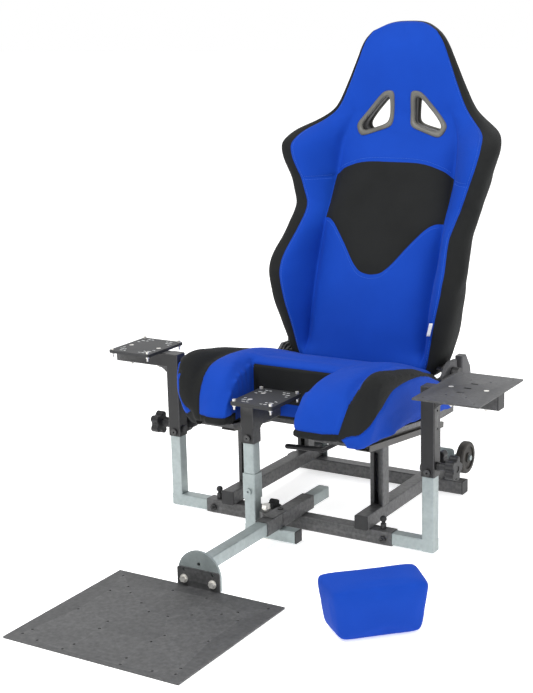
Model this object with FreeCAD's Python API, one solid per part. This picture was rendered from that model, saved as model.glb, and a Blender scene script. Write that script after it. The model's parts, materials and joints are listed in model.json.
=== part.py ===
import FreeCAD, Part
import math
import os

# Racing seat cockpit: a reclining seat on a steel tube frame, with two side arms, a centre
# stick mount and a pedal plate. Millimetres. +Z is up, the sitter faces -Y, the sitter's left
# is +X. The origin is on the floor, under the middle of the front cross tube.

V = FreeCAD.Vector

# ---- driving dimensions ----
TUBE = 35.0                 # outside of the black square tube
WALL = 2.0                  # wall of every tube
SLIDER = 30.0               # outside of the zinc tube that telescopes inside the black tube
TUBE_CORNER = 3.0           # outside corner radius of a tube
GAP = 0.4                   # running gap between parts that move on each other

FRAME_HALF_WIDTH = 262.0    # half length of the two cross tubes
REAR_TUBE_Y = 411.0         # centre line of the rear cross tube
RAIL_X = 189.0              # side rails, pillars and seat rails
RAIL_FRONT_Y = -29.0
RAIL_REAR_Y = 425.9
FRONT_PILLAR_Y = 67.5
REAR_PILLAR_Y = 367.5
FRONT_PILLAR_TOP = 216.8
SEAT_TILT = 7.0             # the seat rails fall towards the rear, in degrees

ARM_X = 355.0               # centre of the side legs
ARM_INNER_X = 130.0         # inner end of the tube inside the cross tube
LEG_TOP = 330.0
POST_BOTTOM = 188.0
POST_TOP = 404.0
ARM_END_X = 525.0
ARM_PLATE_X = (ARM_X + TUBE / 2 + ARM_END_X) / 2
SIDE_STICK_PLATE_Y = 5.0
ARM_SCREW_STEP = 43.0        # from the middle of a side plate to each of its two arm screws
CLAMP_Z = 213.0             # height of the two clamp knobs on each post
SET_SCREW_Z = 199.0

PLATE_WIDTH = 125.0         # plate of the right-hand arm
PLATE_DEPTH = 155.0
PLATE_THICK = 7.0
PLATE_CORNER = 8.0          # a corner bolt is this far in from both edges
LARGE_PLATE_WIDTH = 160.0
LARGE_PLATE_DEPTH = 260.0
LARGE_PLATE_THICK = 4.0

PEDAL_TUBE_Z = 52.5         # centre of the pedal tube, resting on the front cross tube
PEDAL_TUBE_FRONT = -436.0
PEDAL_TUBE_REAR = 126.0
SLEEVE_FRONT_Y = -105.0
SLEEVE_REAR_Y = 45.0
COLLAR_FRONT_Y = -175.0
COLLAR_REAR_Y = -107.0
PEDAL_PLATE_WIDTH = 440.0
PEDAL_PLATE_DEPTH = 400.0
PEDAL_PLATE_THICK = 4.0
PEDAL_FLANGE_WIDTH = 112.0
PEDAL_FLANGE_HEIGHT = 48.0
BRACKET_THICK = 6.0
BRACKET_TOP = 90.0
PEDAL_BOLT_X = 38.0
PEDAL_BOLT_Z = 21.0

STICK_X = -67.0             # centre of the stick leg
STICK_Y = -105.0
STICK_BAR_Z = 19.5
STICK_BAR_END = 57.0
STICK_PIVOT_X = -30.0
STICK_LEG_TOP = 128.0
COUPLER_BOTTOM = 98.0
COUPLER_TOP = 162.0
RISER_TOP = 284.0
STICK_POST_BOTTOM = 239.0
STICK_POST_TOP = 336.0
STICK_ARM_HEIGHT = 58.0     # the arm over the post is a deeper tube
STICK_ARM_END_Y = 3.0
STICK_PLATE_X = -41.5
STICK_PLATE_Y = -75.0
STICK_PLATE_WIDTH = 117.0
STICK_PLATE_DEPTH = 140.0
STICK_PLATE_THICK = 9.0
STICK_SCREW_STEP = 30.0

SEAT_HALF_WIDTH = 258.0
RECESS_FRONT_X = 104.0      # half width of the front recess of the cushion
RECESS_REAR_X = 134.0
RECESS_FRONT_Y = -152.0
RECESS_REAR_Y = 30.0
RECLINER_Y = 360.0          # recline axis
RECLINER_Z = 335.0
RECLINER_X = 234.0
BACKREST_BOTTOM = 352.0

WHEEL_RADIUS = 43.0
WHEEL_WIDTH = 22.0
WHEEL_X = 236.0
WHEEL_Y = 476.0
WHEEL_Z = 76.0

INSERT_X = 433.0            # loose cushion that fills the recess, set down beside the frame
INSERT_Y = -439.0
INSERT_TURN = 45.0
INSERT_FRONT_WIDTH = 212.0
INSERT_REAR_WIDTH = 230.0
INSERT_DEPTH = 118.0
INSERT_HEIGHT = 117.0

SIDES = (("left", 1.0), ("right", -1.0))

FILES = {}


# ---- basic shapes ----
def axis_vector(axis):
    return {"x": V(1, 0, 0), "y": V(0, 1, 0), "z": V(0, 0, 1)}[axis]


def box(x0, x1, y0, y1, z0, z1):
    return Part.makeBox(x1 - x0, y1 - y0, z1 - z0, V(x0, y0, z0))


def rod(axis, radius, start, length):
    return Part.makeCylinder(radius, length, V(*start), axis_vector(axis))


def edges_along(shape, axis):
    direction = axis_vector(axis)
    found = []
    for edge in shape.Edges:
        run = edge.Vertexes[-1].Point.sub(edge.Vertexes[0].Point)
        if run.Length > 0 and abs(run.normalize().dot(direction)) > 0.999:
            found.append(edge)
    return found


def rounded_box(x0, x1, y0, y1, z0, z1, radius, axis):
    shape = box(x0, x1, y0, y1, z0, z1)
    return shape.makeFillet(radius, edges_along(shape, axis))


def square_bar(axis, low, high, centre, size, radius):
    half = size / 2
    spans = {name: [value - half, value + half] for name, value in centre.items()}
    spans[axis] = [low, high]
    return rounded_box(*spans["x"], *spans["y"], *spans["z"], radius, axis)


def square_tube(axis, low, high, centre, size):
    outside = square_bar(axis, low, high, centre, size, TUBE_CORNER)
    return outside.cut(square_bar(axis, low, high, centre, size - 2 * WALL, 1.0))


def hexagon(axis, across_flats, start, length):
    radius = across_flats / math.sqrt(3)
    points = []
    for corner in range(7):
        angle = math.radians(60 * corner)
        first, second = radius * math.cos(angle), radius * math.sin(angle)
        offset = {"x": (0, first, second), "y": (first, 0, second), "z": (first, second, 0)}[axis]
        points.append(V(*start).add(V(*offset)))
    face = Part.Face(Part.makePolygon(points))
    return face.extrude(axis_vector(axis).multiply(length))


def mirror_x(shape):
    return shape.mirror(V(0, 0, 0), V(1, 0, 0))


def on_side(shape, sign):
    return shape if sign > 0 else mirror_x(shape)


def tilt_with_seat(shape):
    turned = shape.copy()
    turned.rotate(V(0, FRONT_PILLAR_Y, FRONT_PILLAR_TOP), V(1, 0, 0), -SEAT_TILT)
    return turned


def save(name, *shapes):
    solids = [solid for shape in shapes for solid in shape.Solids]
    result = solids[0] if len(solids) == 1 else Part.makeCompound(solids)
    if not result.isValid():
        raise ValueError(name + " is not valid")
    result.exportStep("parts/" + name + ".step")
    FILES[name] = result


# ---- frame ----
def plug_cap(axis, position, centre, outward):
    # A plastic plug: a thin head over the tube end and a short body inside it.
    head_end = position + 2.5 * outward
    body_end = position - 12.0 * outward
    head = square_bar(axis, min(position, head_end), max(position, head_end), centre, TUBE, 3.0)
    body = square_bar(axis, min(position, body_end), max(position, body_end), centre,
                      TUBE - 2 * WALL, 1.0)
    return head.fuse(body)


def cross_tube(centre_y):
    tube = square_tube("x", -FRAME_HALF_WIDTH, FRAME_HALF_WIDTH, {"y": centre_y, "z": TUBE / 2}, TUBE)
    return tube


def front_cross_tube():
    tube = cross_tube(0.0)
    for sign in (1, -1):
        tube = tube.cut(rod("z", 4.5, (sign * 233.0, 0, TUBE - 2 * WALL), 3 * WALL))
        tube = tube.cut(rod("y", 4.5, (sign * 240.0, -TUBE, 15.0), TUBE - 2 * WALL + 2))
    return tube


def side_rail(sign):
    z_centre = 1.5 * TUBE
    return square_tube("y", RAIL_FRONT_Y, RAIL_REAR_Y, {"x": sign * RAIL_X, "z": z_centre}, TUBE)


def tube_end_caps():
    caps = []
    for sign in (1, -1):
        rail = {"x": sign * RAIL_X, "z": 1.5 * TUBE}
        caps.append(plug_cap("y", RAIL_FRONT_Y, rail, -1))
        caps.append(plug_cap("y", RAIL_REAR_Y, rail, 1))
        caps.append(plug_cap("x", sign * FRAME_HALF_WIDTH, {"y": REAR_TUBE_Y, "z": TUBE / 2}, sign))
    return caps


def pillar(sign, y_centre):
    # A lipped channel, open to the front, cut on top to the slope of the seat rail.
    fall = math.tan(math.radians(SEAT_TILT)) * (y_centre - FRONT_PILLAR_Y)
    top = FRONT_PILLAR_TOP - fall
    centre = {"x": sign * RAIL_X, "y": y_centre}
    channel = square_bar("z", 2 * TUBE, top + 10, centre, TUBE, TUBE_CORNER)
    channel = channel.cut(square_bar("z", 2 * TUBE - 1, top + 11, centre, TUBE - 5.0, 1.0))
    slot = box(sign * RAIL_X - 6, sign * RAIL_X + 6, y_centre - TUBE, y_centre,
               2 * TUBE + 4, top - 12)
    above = tilt_with_seat(box(-300, 300, -200, 600, FRONT_PILLAR_TOP - 0.05, 400))
    return channel.cut(slot).cut(above)


def seat_rail(sign):
    # The fixed lower rail: a low channel that lies on both pillars.
    x = sign * RAIL_X
    z = FRONT_PILLAR_TOP
    rail = box(x - 19, x + 19, -20, 400, z, z + 15)
    rail = rail.cut(box(x - 16.5, x + 16.5, -21, 401, z + 2.5, z + 16))
    for lip in (-1, 1):
        start, end = sorted((x + lip * 16.5, x + lip * 11.5))
        rail = rail.fuse(box(start, end, -20, 400, z + 12.5, z + 15))
    return tilt_with_seat(rail.removeSplitter())


def pedal_sleeve():
    sleeve = square_tube("y", SLEEVE_FRONT_Y, SLEEVE_REAR_Y, {"x": 0, "z": PEDAL_TUBE_Z}, TUBE)
    boss = rod("x", 9, (-TUBE / 2 - 6, -45, PEDAL_TUBE_Z), 6.5)
    sleeve = sleeve.fuse(boss)
    return sleeve.cut(rod("x", 4.3, (-TUBE, -45, PEDAL_TUBE_Z), TUBE))


def stick_collar():
    # A second sleeve in front of the first, with a strap back over it and a round ear that
    # holds the pivot bolt of the stick mount.
    collar = square_tube("y", COLLAR_FRONT_Y, COLLAR_REAR_Y, {"x": 0, "z": PEDAL_TUBE_Z}, TUBE)
    top = PEDAL_TUBE_Z + TUBE / 2
    strap = box(-15, 15, COLLAR_REAR_Y - 40, -76, top, top + 3)
    strap = strap.makeFillet(8, [edge for edge in edges_along(strap, "z")
                                 if edge.Vertexes[0].Point.y > COLLAR_REAR_Y])
    ear_low = STICK_BAR_Z + SLIDER / 2 + GAP + 0.6
    ear = rod("z", 16, (STICK_PIVOT_X, STICK_Y, ear_low), top - ear_low)
    web = box(STICK_PIVOT_X, -TUBE / 2, STICK_Y - 16, STICK_Y - 2, ear_low, top)
    fixture = ear.fuse(web)
    fixture = fixture.cut(box(-TUBE / 2, TUBE, -300, 100, 0, 200))
    fixture = fixture.cut(rod("z", 6.3, (STICK_PIVOT_X, STICK_Y, 0), 200))
    collar = collar.fuse(strap).fuse(fixture)
    return collar.cut(rod("z", 3.2, (0, -88, top - 1), 10))


def pivot_bolt():
    top = PEDAL_TUBE_Z + TUBE / 2
    shank = rod("z", 6, (STICK_PIVOT_X, STICK_Y, 0.4), top + 9)
    washer = rod("z", 11, (STICK_PIVOT_X, STICK_Y, top + 6), 2)
    head = hexagon("z", 19, (STICK_PIVOT_X, STICK_Y, top + 8), 8)
    foot = rod("z", 11, (STICK_PIVOT_X, STICK_Y, 0), STICK_BAR_Z - SLIDER / 2 - GAP)
    return shank.fuse(washer).fuse(head).fuse(foot)


def frame_screws():
    # Two set screws in the front cross tube and the strap screw.
    screws = []
    for sign in (1, -1):
        nut = hexagon("y", 16, (sign * 240.0, -TUBE / 2 - 6, 15.0), 6)
        screw = rod("y", 4, (sign * 240.0, -TUBE / 2 - 10, 15.0), 11.5)
        socket = hexagon("y", 4, (sign * 240.0, -TUBE / 2 - 11, 15.0), 4)
        screws.append(nut.fuse(screw).cut(socket))
    top = PEDAL_TUBE_Z + TUBE / 2
    strap_head = rod("z", 7, (0, -88, top + 3), 4)
    strap_shank = rod("z", 3, (0, -88, top), 4)
    screws.append(strap_head.fuse(strap_shank).cut(hexagon("z", 5, (0, -88, top + 5), 4)))
    return screws


def caster_bracket():
    # The left-hand bracket: a flange on the rear cross tube and a cheek beside the wheel that
    # carries a stub axle with its nut outside.
    rear = REAR_TUBE_Y + TUBE / 2
    cheek_x = WHEEL_X - WHEEL_WIDTH / 2 - 4
    flange = rounded_box(cheek_x - 64, cheek_x + 3, rear, rear + 3, 3, WHEEL_Z + 34, 8, "y")
    cheek = box(cheek_x, cheek_x + 3, rear, WHEEL_Y, WHEEL_Z - 16, WHEEL_Z + 16)
    cheek = cheek.fuse(rod("x", 16, (cheek_x, WHEEL_Y, WHEEL_Z), 3))
    bracket = flange.fuse(cheek).cut(rod("x", 4.0, (0, WHEEL_Y, WHEEL_Z), 400)).removeSplitter()
    axle_end = WHEEL_X + WHEEL_WIDTH / 2 + 0.5
    axle = rod("x", 4.0, (cheek_x - 3, WHEEL_Y, WHEEL_Z), axle_end + 8 - cheek_x)
    axle = axle.fuse(rod("x", 7.5, (cheek_x - 3, WHEEL_Y, WHEEL_Z), 3))
    axle = axle.fuse(hexagon("x", 13, (axle_end, WHEEL_Y, WHEEL_Z), 5))
    return [bracket, axle]


def caster_brackets():
    left = caster_bracket()
    return left + [mirror_x(solid) for solid in left]


def caster_wheel(sign):
    start = WHEEL_X - WHEEL_WIDTH / 2
    tyre = rod("x", WHEEL_RADIUS, (start, WHEEL_Y, WHEEL_Z), WHEEL_WIDTH)
    rims = [edge for edge in tyre.Edges if edge.BoundBox.XLength < 0.01]
    tyre = tyre.makeFillet(6, rims)
    for face_x in (start - 1, start + WHEEL_WIDTH - 4):
        recess = rod("x", 30, (face_x, WHEEL_Y, WHEEL_Z), 5)
        tyre = tyre.cut(recess.cut(rod("x", 13, (face_x - 1, WHEEL_Y, WHEEL_Z), 7)))
    tyre = tyre.cut(rod("x", 4.1, (start - 1, WHEEL_Y, WHEEL_Z), WHEEL_WIDTH + 2))
    return on_side(tyre, sign)


# ---- clamp knobs and plungers ----
def star_knob(reach, radius):
    # A knob along +Z with its clamping face at z = 0: stud, neck and a five-lobed grip.
    grip = rod("z", radius * 0.72, (0, 0, reach), 22)
    for lobe in range(5):
        angle = math.radians(72 * lobe + 18)
        centre = (radius * 0.68 * math.cos(angle), radius * 0.68 * math.sin(angle), reach)
        grip = grip.fuse(rod("z", radius * 0.32, centre, 22))
    grip = grip.removeSplitter()
    rims = [edge for edge in grip.Edges if edge.BoundBox.ZLength < 0.01]
    grip = grip.makeFillet(2.5, rims)
    neck = rod("z", 9, (0, 0, 0.4), reach)
    stud = rod("z", 4, (0, 0, -7.6), 8.5)
    dimple = rod("z", 8, (0, 0, reach + 20.5), 3)
    return grip.fuse(neck).fuse(stud).cut(dimple).removeSplitter()


def place(shape, direction, position):
    turned = shape.copy()
    turned.Placement = FreeCAD.Placement(V(*position), FreeCAD.Rotation(V(0, 0, 1), V(*direction)))
    return turned


def plunger_bodies():
    bodies = []
    for sign in (1, -1):
        body = rod("z", 7, (sign * 233.0, 0, TUBE), 14)
        body = body.makeChamfer(1, [edge for edge in body.Edges if edge.BoundBox.ZMin > TUBE + 13])
        bodies.append(body.cut(rod("z", 3.4, (sign * 233.0, 0, TUBE - 1), 20)))
    return bodies


def plunger_pin(sign):
    x = sign * 233.0
    pin = rod("z", 3, (x, 0, TUBE - WALL), 20)
    neck = rod("z", 4.5, (x, 0, TUBE + 14.4), 6)
    ball = Part.makeSphere(8, V(x, 0, TUBE + 25))
    return pin.fuse(neck).fuse(ball)


# ---- side arms ----
def arm_slider(sign):
    # A zinc L: the flat run telescopes in the front cross tube, the leg carries the post.
    z = TUBE / 2
    outer_x = sign * (ARM_X + SLIDER / 2)
    inner_x = sign * ARM_INNER_X
    shape = None
    for size, trim in ((SLIDER, 0.0), (SLIDER - 2 * WALL, WALL)):
        low, high = sorted((inner_x - sign * trim, outer_x - sign * trim))
        radius = TUBE_CORNER if size == SLIDER else 1.0
        run = square_bar("x", low, high, {"y": 0, "z": z}, size, radius)
        leg = square_bar("z", z - SLIDER / 2 + trim, LEG_TOP + trim, {"x": sign * ARM_X, "y": 0},
                         size, radius)
        solid = run.fuse(leg)
        shape = solid if shape is None else shape.cut(solid)
    return shape.removeSplitter()


def inner_corner(reach, drop):
    # The hollow-curved gusset in the angle between a post and its arm, in the XZ plane.
    start, end = V(0, 0, 0), V(reach, 0, 0)
    foot = V(0, 0, -drop)
    middle = V(reach * 0.3, 0, -drop * 0.3)
    outline = Part.Wire([Part.makeLine(start, end), Part.Arc(end, middle, foot).toShape(),
                         Part.makeLine(foot, start)])
    web = Part.Face(outline).extrude(V(0, TUBE - 6, 0))
    return web.translated(V(0, -TUBE / 2 + 3, 0))


def side_post(sign):
    # A black L on the zinc leg: the post slides up and down, the arm points outwards.
    arm_z = POST_TOP - TUBE / 2
    outer = None
    for size, trim in ((TUBE, 0.0), (TUBE - 2 * WALL, WALL)):
        radius = TUBE_CORNER if trim == 0 else 1.0
        inner_face = sign * (ARM_X - TUBE / 2 + trim)
        low, high = sorted((inner_face, sign * (ARM_END_X + trim)))
        arm = square_bar("x", low, high, {"y": 0, "z": arm_z}, size, radius)
        column = square_bar("z", POST_BOTTOM - trim, POST_TOP - trim, {"x": sign * ARM_X, "y": 0},
                            size, radius)
        solid = arm.fuse(column)
        outer = solid if outer is None else outer.cut(solid)
    gusset = on_side(inner_corner(48, 16), sign)
    outer = outer.fuse(gusset.translated(V(sign * (ARM_X + TUBE / 2 - 0.2), 0, POST_TOP - TUBE + 0.2)))
    bosses = [rod("x", 10, (0, 0, CLAMP_Z), 6), rod("x", 10, (-TUBE - 5, 0, SET_SCREW_Z + 6), 5.2)]
    for boss in bosses:
        shifted = on_side(boss.translated(V(ARM_X + TUBE / 2 - 0.2, 0, 0)), sign)
        outer = outer.fuse(shifted)
    outer = outer.fuse(rod("y", 10, (sign * ARM_X, TUBE / 2 - 0.2, CLAMP_Z), 6.2))
    outer = outer.fuse(rod("y", 9, (sign * ARM_X, -TUBE / 2 - 4, SET_SCREW_Z), 4.2))
    start = ARM_X + 5 if sign > 0 else -ARM_X - 45
    outer = outer.cut(rod("x", 4.3, (start, 0, CLAMP_Z), 40))
    outer = outer.cut(rod("y", 4.3, (sign * ARM_X, 5, CLAMP_Z), 40))
    outer = outer.cut(hexagon("y", 5, (sign * ARM_X, -TUBE, SET_SCREW_Z), TUBE / 2))
    for hole_z in (303, 346):
        outer = outer.cut(rod("x", 3, (start, 0, hole_z), 40))
    for screw_x in (ARM_PLATE_X - ARM_SCREW_STEP, ARM_PLATE_X + ARM_SCREW_STEP):
        outer = outer.cut(rod("z", 3.2, (sign * screw_x, 0, POST_TOP - TUBE - 20), 60))
    return outer.cut(rod("y", 3, (sign * ARM_X, -TUBE, 385), TUBE / 2))


def arm_plate_screws(centre, along, step, top, depth):
    # Two countersunk screws through a plate and what is under it, with their nuts.
    screws = []
    for offset in (-step, step):
        position = list(centre)
        position[0 if along == "x" else 1] += offset
        x, y = position
        head = Part.makeCone(3, 6, 3, V(x, y, top - 3.2), V(0, 0, 1))
        shank = rod("z", 3, (x, y, top - depth - 8), depth + 6)
        nut = hexagon("z", 10, (x, y, top - depth - 5), 5)
        screws.append(head.fuse(shank).fuse(nut).removeSplitter())
    return screws


def slots_in_corner(x, y, toward_x, toward_y, z, depth):
    # Short slots near one corner of a small plate, for the bolt patterns of several bases.
    cutters = []
    radius = 2.2
    for step_x, step_y, length in ((20, 8, 10), (31, 8, 8), (12, 24, 12), (24, 22, 8), (8, 38, 8)):
        slot_x = x - toward_x * step_x
        slot_y = y - toward_y * step_y
        half = length / 2 - radius
        slot = box(slot_x - half, slot_x + half, slot_y - radius, slot_y + radius, z - 1, z + depth + 1)
        for end_x in (slot_x - half, slot_x + half):
            slot = slot.fuse(rod("z", radius, (end_x, slot_y, z - 1), depth + 2))
        cutters.append(slot.removeSplitter())
    return cutters


def corner_points(centre, size):
    # The four corner bolts of a small plate, each with the direction of its corner.
    points = []
    for step_x in (-1, 1):
        for step_y in (-1, 1):
            x = centre[0] + step_x * (size[0] / 2 - PLATE_CORNER)
            y = centre[1] + step_y * (size[1] / 2 - PLATE_CORNER)
            points.append((x, y, step_x, step_y))
    return points


def small_plate(centre, size, bottom, screw_axis, screw_centre, screw_step):
    width, depth, thick = size
    plate = rounded_box(centre[0] - width / 2, centre[0] + width / 2, centre[1] - depth / 2,
                        centre[1] + depth / 2, bottom, bottom + thick, 6.0, "z")
    for x, y, step_x, step_y in corner_points(centre, size):
        plate = plate.cut(rod("z", 2.5, (x, y, bottom - 1), thick + 2))
        for cutter in slots_in_corner(x, y, step_x, step_y, bottom, thick):
            plate = plate.cut(cutter)
    return plate.cut(screw_seats(screw_axis, screw_centre, screw_step, bottom + thick))


def screw_seats(axis, centre, step, top):
    # The countersunk holes for the two screws that hold a plate to its arm.
    seats = []
    for offset in (-step, step):
        x = centre[0] + (offset if axis == "x" else 0)
        y = centre[1] + (offset if axis == "y" else 0)
        seats.append(rod("z", 3.2, (x, y, top - 12), 14))
        seats.append(Part.makeCone(3.2, 6.4, 3.2, V(x, y, top - 3.2), V(0, 0, 1)))
    return Part.makeCompound(seats)


def corner_bolts(centre, size, bottom):
    bolts = []
    for x, y, step_x, step_y in corner_points(centre, size):
        top = bottom + size[2]
        shank = rod("z", 2.5, (x, y, bottom - 12), size[2] + 14)
        head = rod("z", 4.5, (x, y, top), 5)
        nut = hexagon("z", 8, (x, y, bottom - 4), 4)
        bolts.append(shank.fuse(head).fuse(nut).cut(hexagon("z", 4, (x, y, top + 3), 4)))
    return bolts


def large_plate(centre_x, bottom):
    half_x, half_y = LARGE_PLATE_WIDTH / 2, LARGE_PLATE_DEPTH / 2
    plate = rounded_box(centre_x - half_x, centre_x + half_x, -half_y, half_y,
                        bottom, bottom + LARGE_PLATE_THICK, 3.0, "z")
    for slot_y in (-40, 0, 40):
        plate = plate.cut(box(centre_x - 12, centre_x + 6, slot_y - 4, slot_y + 4, bottom - 1, bottom + 9))
    for half_x, half_y in ((24, 70), (61, 112)):
        for x in (-half_x, half_x):
            for y in (-half_y, half_y):
                plate = plate.cut(rod("z", 2.6, (centre_x + x, y, bottom - 1), 9))
    return plate.cut(screw_seats("x", (centre_x, 0), ARM_SCREW_STEP, bottom + LARGE_PLATE_THICK))


def side_arms():
    for name, sign in SIDES:
        save("arm_slider_" + name, arm_slider(sign))
        save("post_" + name, side_post(sign))
        save("post_cap_" + name, plug_cap("x", sign * ARM_END_X, {"y": 0, "z": POST_TOP - TUBE / 2}, sign))
        knob_x = sign * (ARM_X + TUBE / 2 + 5.8)
        save("knob_outer_" + name, place(star_knob(23, 30), (sign, 0, 0), (knob_x, 0, CLAMP_Z)))
        save("knob_rear_" + name, place(star_knob(10, 27), (0, 1, 0),
                                        (sign * ARM_X, TUBE / 2 + 6, CLAMP_Z)))
        save("plunger_pin_" + name, plunger_pin(sign))
    save("throttle_plate", large_plate(ARM_PLATE_X, POST_TOP))
    save("throttle_plate_screws", *arm_plate_screws((ARM_PLATE_X, 0), "x", ARM_SCREW_STEP,
                                                    POST_TOP + LARGE_PLATE_THICK, TUBE + LARGE_PLATE_THICK))
    size = (PLATE_WIDTH, PLATE_DEPTH, PLATE_THICK)
    centre = (-ARM_PLATE_X, SIDE_STICK_PLATE_Y)
    arm_centre = (-ARM_PLATE_X, 0)
    save("side_stick_plate", small_plate(centre, size, POST_TOP, "x", arm_centre, ARM_SCREW_STEP))
    save("side_stick_bolts", *corner_bolts(centre, size, POST_TOP),
         *arm_plate_screws(arm_centre, "x", ARM_SCREW_STEP, POST_TOP + PLATE_THICK, TUBE + PLATE_THICK))


# ---- centre stick ----
def stick_base_tube():
    x0 = STICK_X - SLIDER / 2
    shape = None
    for size, trim in ((SLIDER, 0.0), (SLIDER - 2 * WALL, WALL)):
        radius = TUBE_CORNER if trim == 0 else 1.0
        bar = square_bar("x", x0 + trim, STICK_BAR_END + trim, {"y": STICK_Y, "z": STICK_BAR_Z}, size, radius)
        leg = square_bar("z", STICK_BAR_Z - SLIDER / 2 + trim, STICK_LEG_TOP + trim,
                         {"x": STICK_X, "y": STICK_Y}, size, radius)
        solid = bar.fuse(leg)
        shape = solid if shape is None else shape.cut(solid)
    return shape.cut(rod("z", 6.1, (STICK_PIVOT_X, STICK_Y, 0), 50)).removeSplitter()


def stick_base_cap():
    centre = {"y": STICK_Y, "z": STICK_BAR_Z}
    head = square_bar("x", STICK_BAR_END, STICK_BAR_END + 3, centre, SLIDER, 3.0)
    body = square_bar("x", STICK_BAR_END - 12, STICK_BAR_END, centre, SLIDER - 2 * WALL, 1.0)
    return head.fuse(body)


def stick_coupler():
    # The sleeve that joins the leg and the riser, with a set screw boss in front.
    centre = {"x": STICK_X, "y": STICK_Y}
    sleeve = square_bar("z", COUPLER_BOTTOM, COUPLER_TOP, centre, TUBE, TUBE_CORNER)
    sleeve = sleeve.cut(square_bar("z", COUPLER_BOTTOM - 1, COUPLER_TOP + 1, centre, SLIDER, 1.0))
    boss = rod("y", 8, (STICK_X, STICK_Y - TUBE / 2 - 4, COUPLER_BOTTOM + 20), 5)
    socket = hexagon("y", 5, (STICK_X, STICK_Y - TUBE / 2 - 5, COUPLER_BOTTOM + 20), 4)
    return sleeve.fuse(boss).cut(socket)


def stick_riser():
    return square_tube("z", STICK_LEG_TOP, RISER_TOP, {"x": STICK_X, "y": STICK_Y}, SLIDER)


def stick_post():
    # A short post with a deeper arm towards the seat.
    front = STICK_Y - TUBE / 2
    arm_bottom = STICK_POST_TOP - STICK_ARM_HEIGHT
    shape = None
    for trim in (0.0, WALL):
        half = TUBE / 2 - trim
        radius = TUBE_CORNER if trim == 0 else 1.0
        arm = rounded_box(STICK_X - half, STICK_X + half, front + trim, STICK_ARM_END_Y + trim,
                          arm_bottom + trim, STICK_POST_TOP - trim, radius, "y")
        column = square_bar("z", STICK_POST_BOTTOM - trim, STICK_POST_TOP - trim,
                            {"x": STICK_X, "y": STICK_Y}, 2 * half, radius)
        solid = arm.fuse(column)
        shape = solid if shape is None else shape.cut(solid)
    gusset = inner_corner(18, 18)
    gusset.rotate(V(0, 0, 0), V(0, 0, 1), 90)
    gusset = gusset.translated(V(STICK_X, STICK_Y + TUBE / 2 - 0.2, arm_bottom + 0.2))
    screw_z = STICK_POST_BOTTOM + 13
    shape = shape.fuse(gusset).fuse(rod("y", 9, (STICK_X, front - 4, screw_z), 4.2))
    shape = shape.cut(hexagon("y", 5, (STICK_X, front - 5, screw_z), TUBE / 2))
    for screw_y in (STICK_PLATE_Y - STICK_SCREW_STEP, STICK_PLATE_Y + STICK_SCREW_STEP):
        shape = shape.cut(rod("z", 3.2, (STICK_X, screw_y, STICK_POST_TOP - 2 * WALL), 3 * WALL))
    return shape


def stick_post_cap():
    # The plug of the deeper arm.
    arm_bottom = STICK_POST_TOP - STICK_ARM_HEIGHT
    half = TUBE / 2
    head = rounded_box(STICK_X - half, STICK_X + half, STICK_ARM_END_Y, STICK_ARM_END_Y + 2.5,
                       arm_bottom, STICK_POST_TOP, 3.0, "y")
    inset = half - WALL
    body = rounded_box(STICK_X - inset, STICK_X + inset, STICK_ARM_END_Y - 10, STICK_ARM_END_Y,
                       arm_bottom + WALL, STICK_POST_TOP - WALL, 1.0, "y")
    return head.fuse(body)


def centre_stick():
    save("stick_base_tube", stick_base_tube())
    save("stick_base_cap", stick_base_cap())
    save("stick_coupler", stick_coupler())
    save("stick_riser", stick_riser())
    save("stick_post", stick_post())
    save("stick_post_cap", stick_post_cap())
    centre = (STICK_PLATE_X, STICK_PLATE_Y)
    size = (STICK_PLATE_WIDTH, STICK_PLATE_DEPTH, STICK_PLATE_THICK)
    save("stick_plate", small_plate(centre, size, STICK_POST_TOP, "y", (STICK_X, STICK_PLATE_Y),
                                    STICK_SCREW_STEP))
    save("stick_plate_bolts", *corner_bolts(centre, size, STICK_POST_TOP),
         *arm_plate_screws((STICK_X, STICK_PLATE_Y), "y", STICK_SCREW_STEP,
                           STICK_POST_TOP + STICK_PLATE_THICK, STICK_PLATE_THICK + WALL))


# ---- pedals ----
# Holes of the pedal plate: half spacing across, then distance from the rear edge.
PEDAL_HOLES = ((145, 70), (168, 106), (120, 95), (66, 128), (168, 218), (25, 158), (73, 238), (66, 275),
               (188, 345), (145, 381), (66, 359), (73, 388), (193, 24), (193, 370), (45, 40))


def pedal_plate():
    front = PEDAL_TUBE_FRONT - BRACKET_THICK - PEDAL_PLATE_DEPTH
    rear = front + PEDAL_PLATE_DEPTH
    half = PEDAL_PLATE_WIDTH / 2
    plate = box(-half, half, front, rear, 0, PEDAL_PLATE_THICK)
    flange = rounded_box(-PEDAL_FLANGE_WIDTH / 2, PEDAL_FLANGE_WIDTH / 2, rear - PEDAL_PLATE_THICK, rear,
                         -8, PEDAL_FLANGE_HEIGHT, 6.0, "y")
    flange = flange.cut(box(-half, half, front, rear + 1, -20, 0))
    plate = plate.fuse(flange)
    for x, from_rear in PEDAL_HOLES:
        for sign in (1, -1):
            plate = plate.cut(rod("z", 3.2, (sign * x, rear - from_rear, -1), 8))
    for sign in (1, -1):
        plate = plate.cut(rod("y", 4.2, (sign * PEDAL_BOLT_X, rear - 8, PEDAL_BOLT_Z), 12))
        plate = plate.cut(rod("y", 3.2, (sign * PEDAL_BOLT_X, rear - 8, PEDAL_FLANGE_HEIGHT - 6), 12))
    return plate.removeSplitter()


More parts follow.
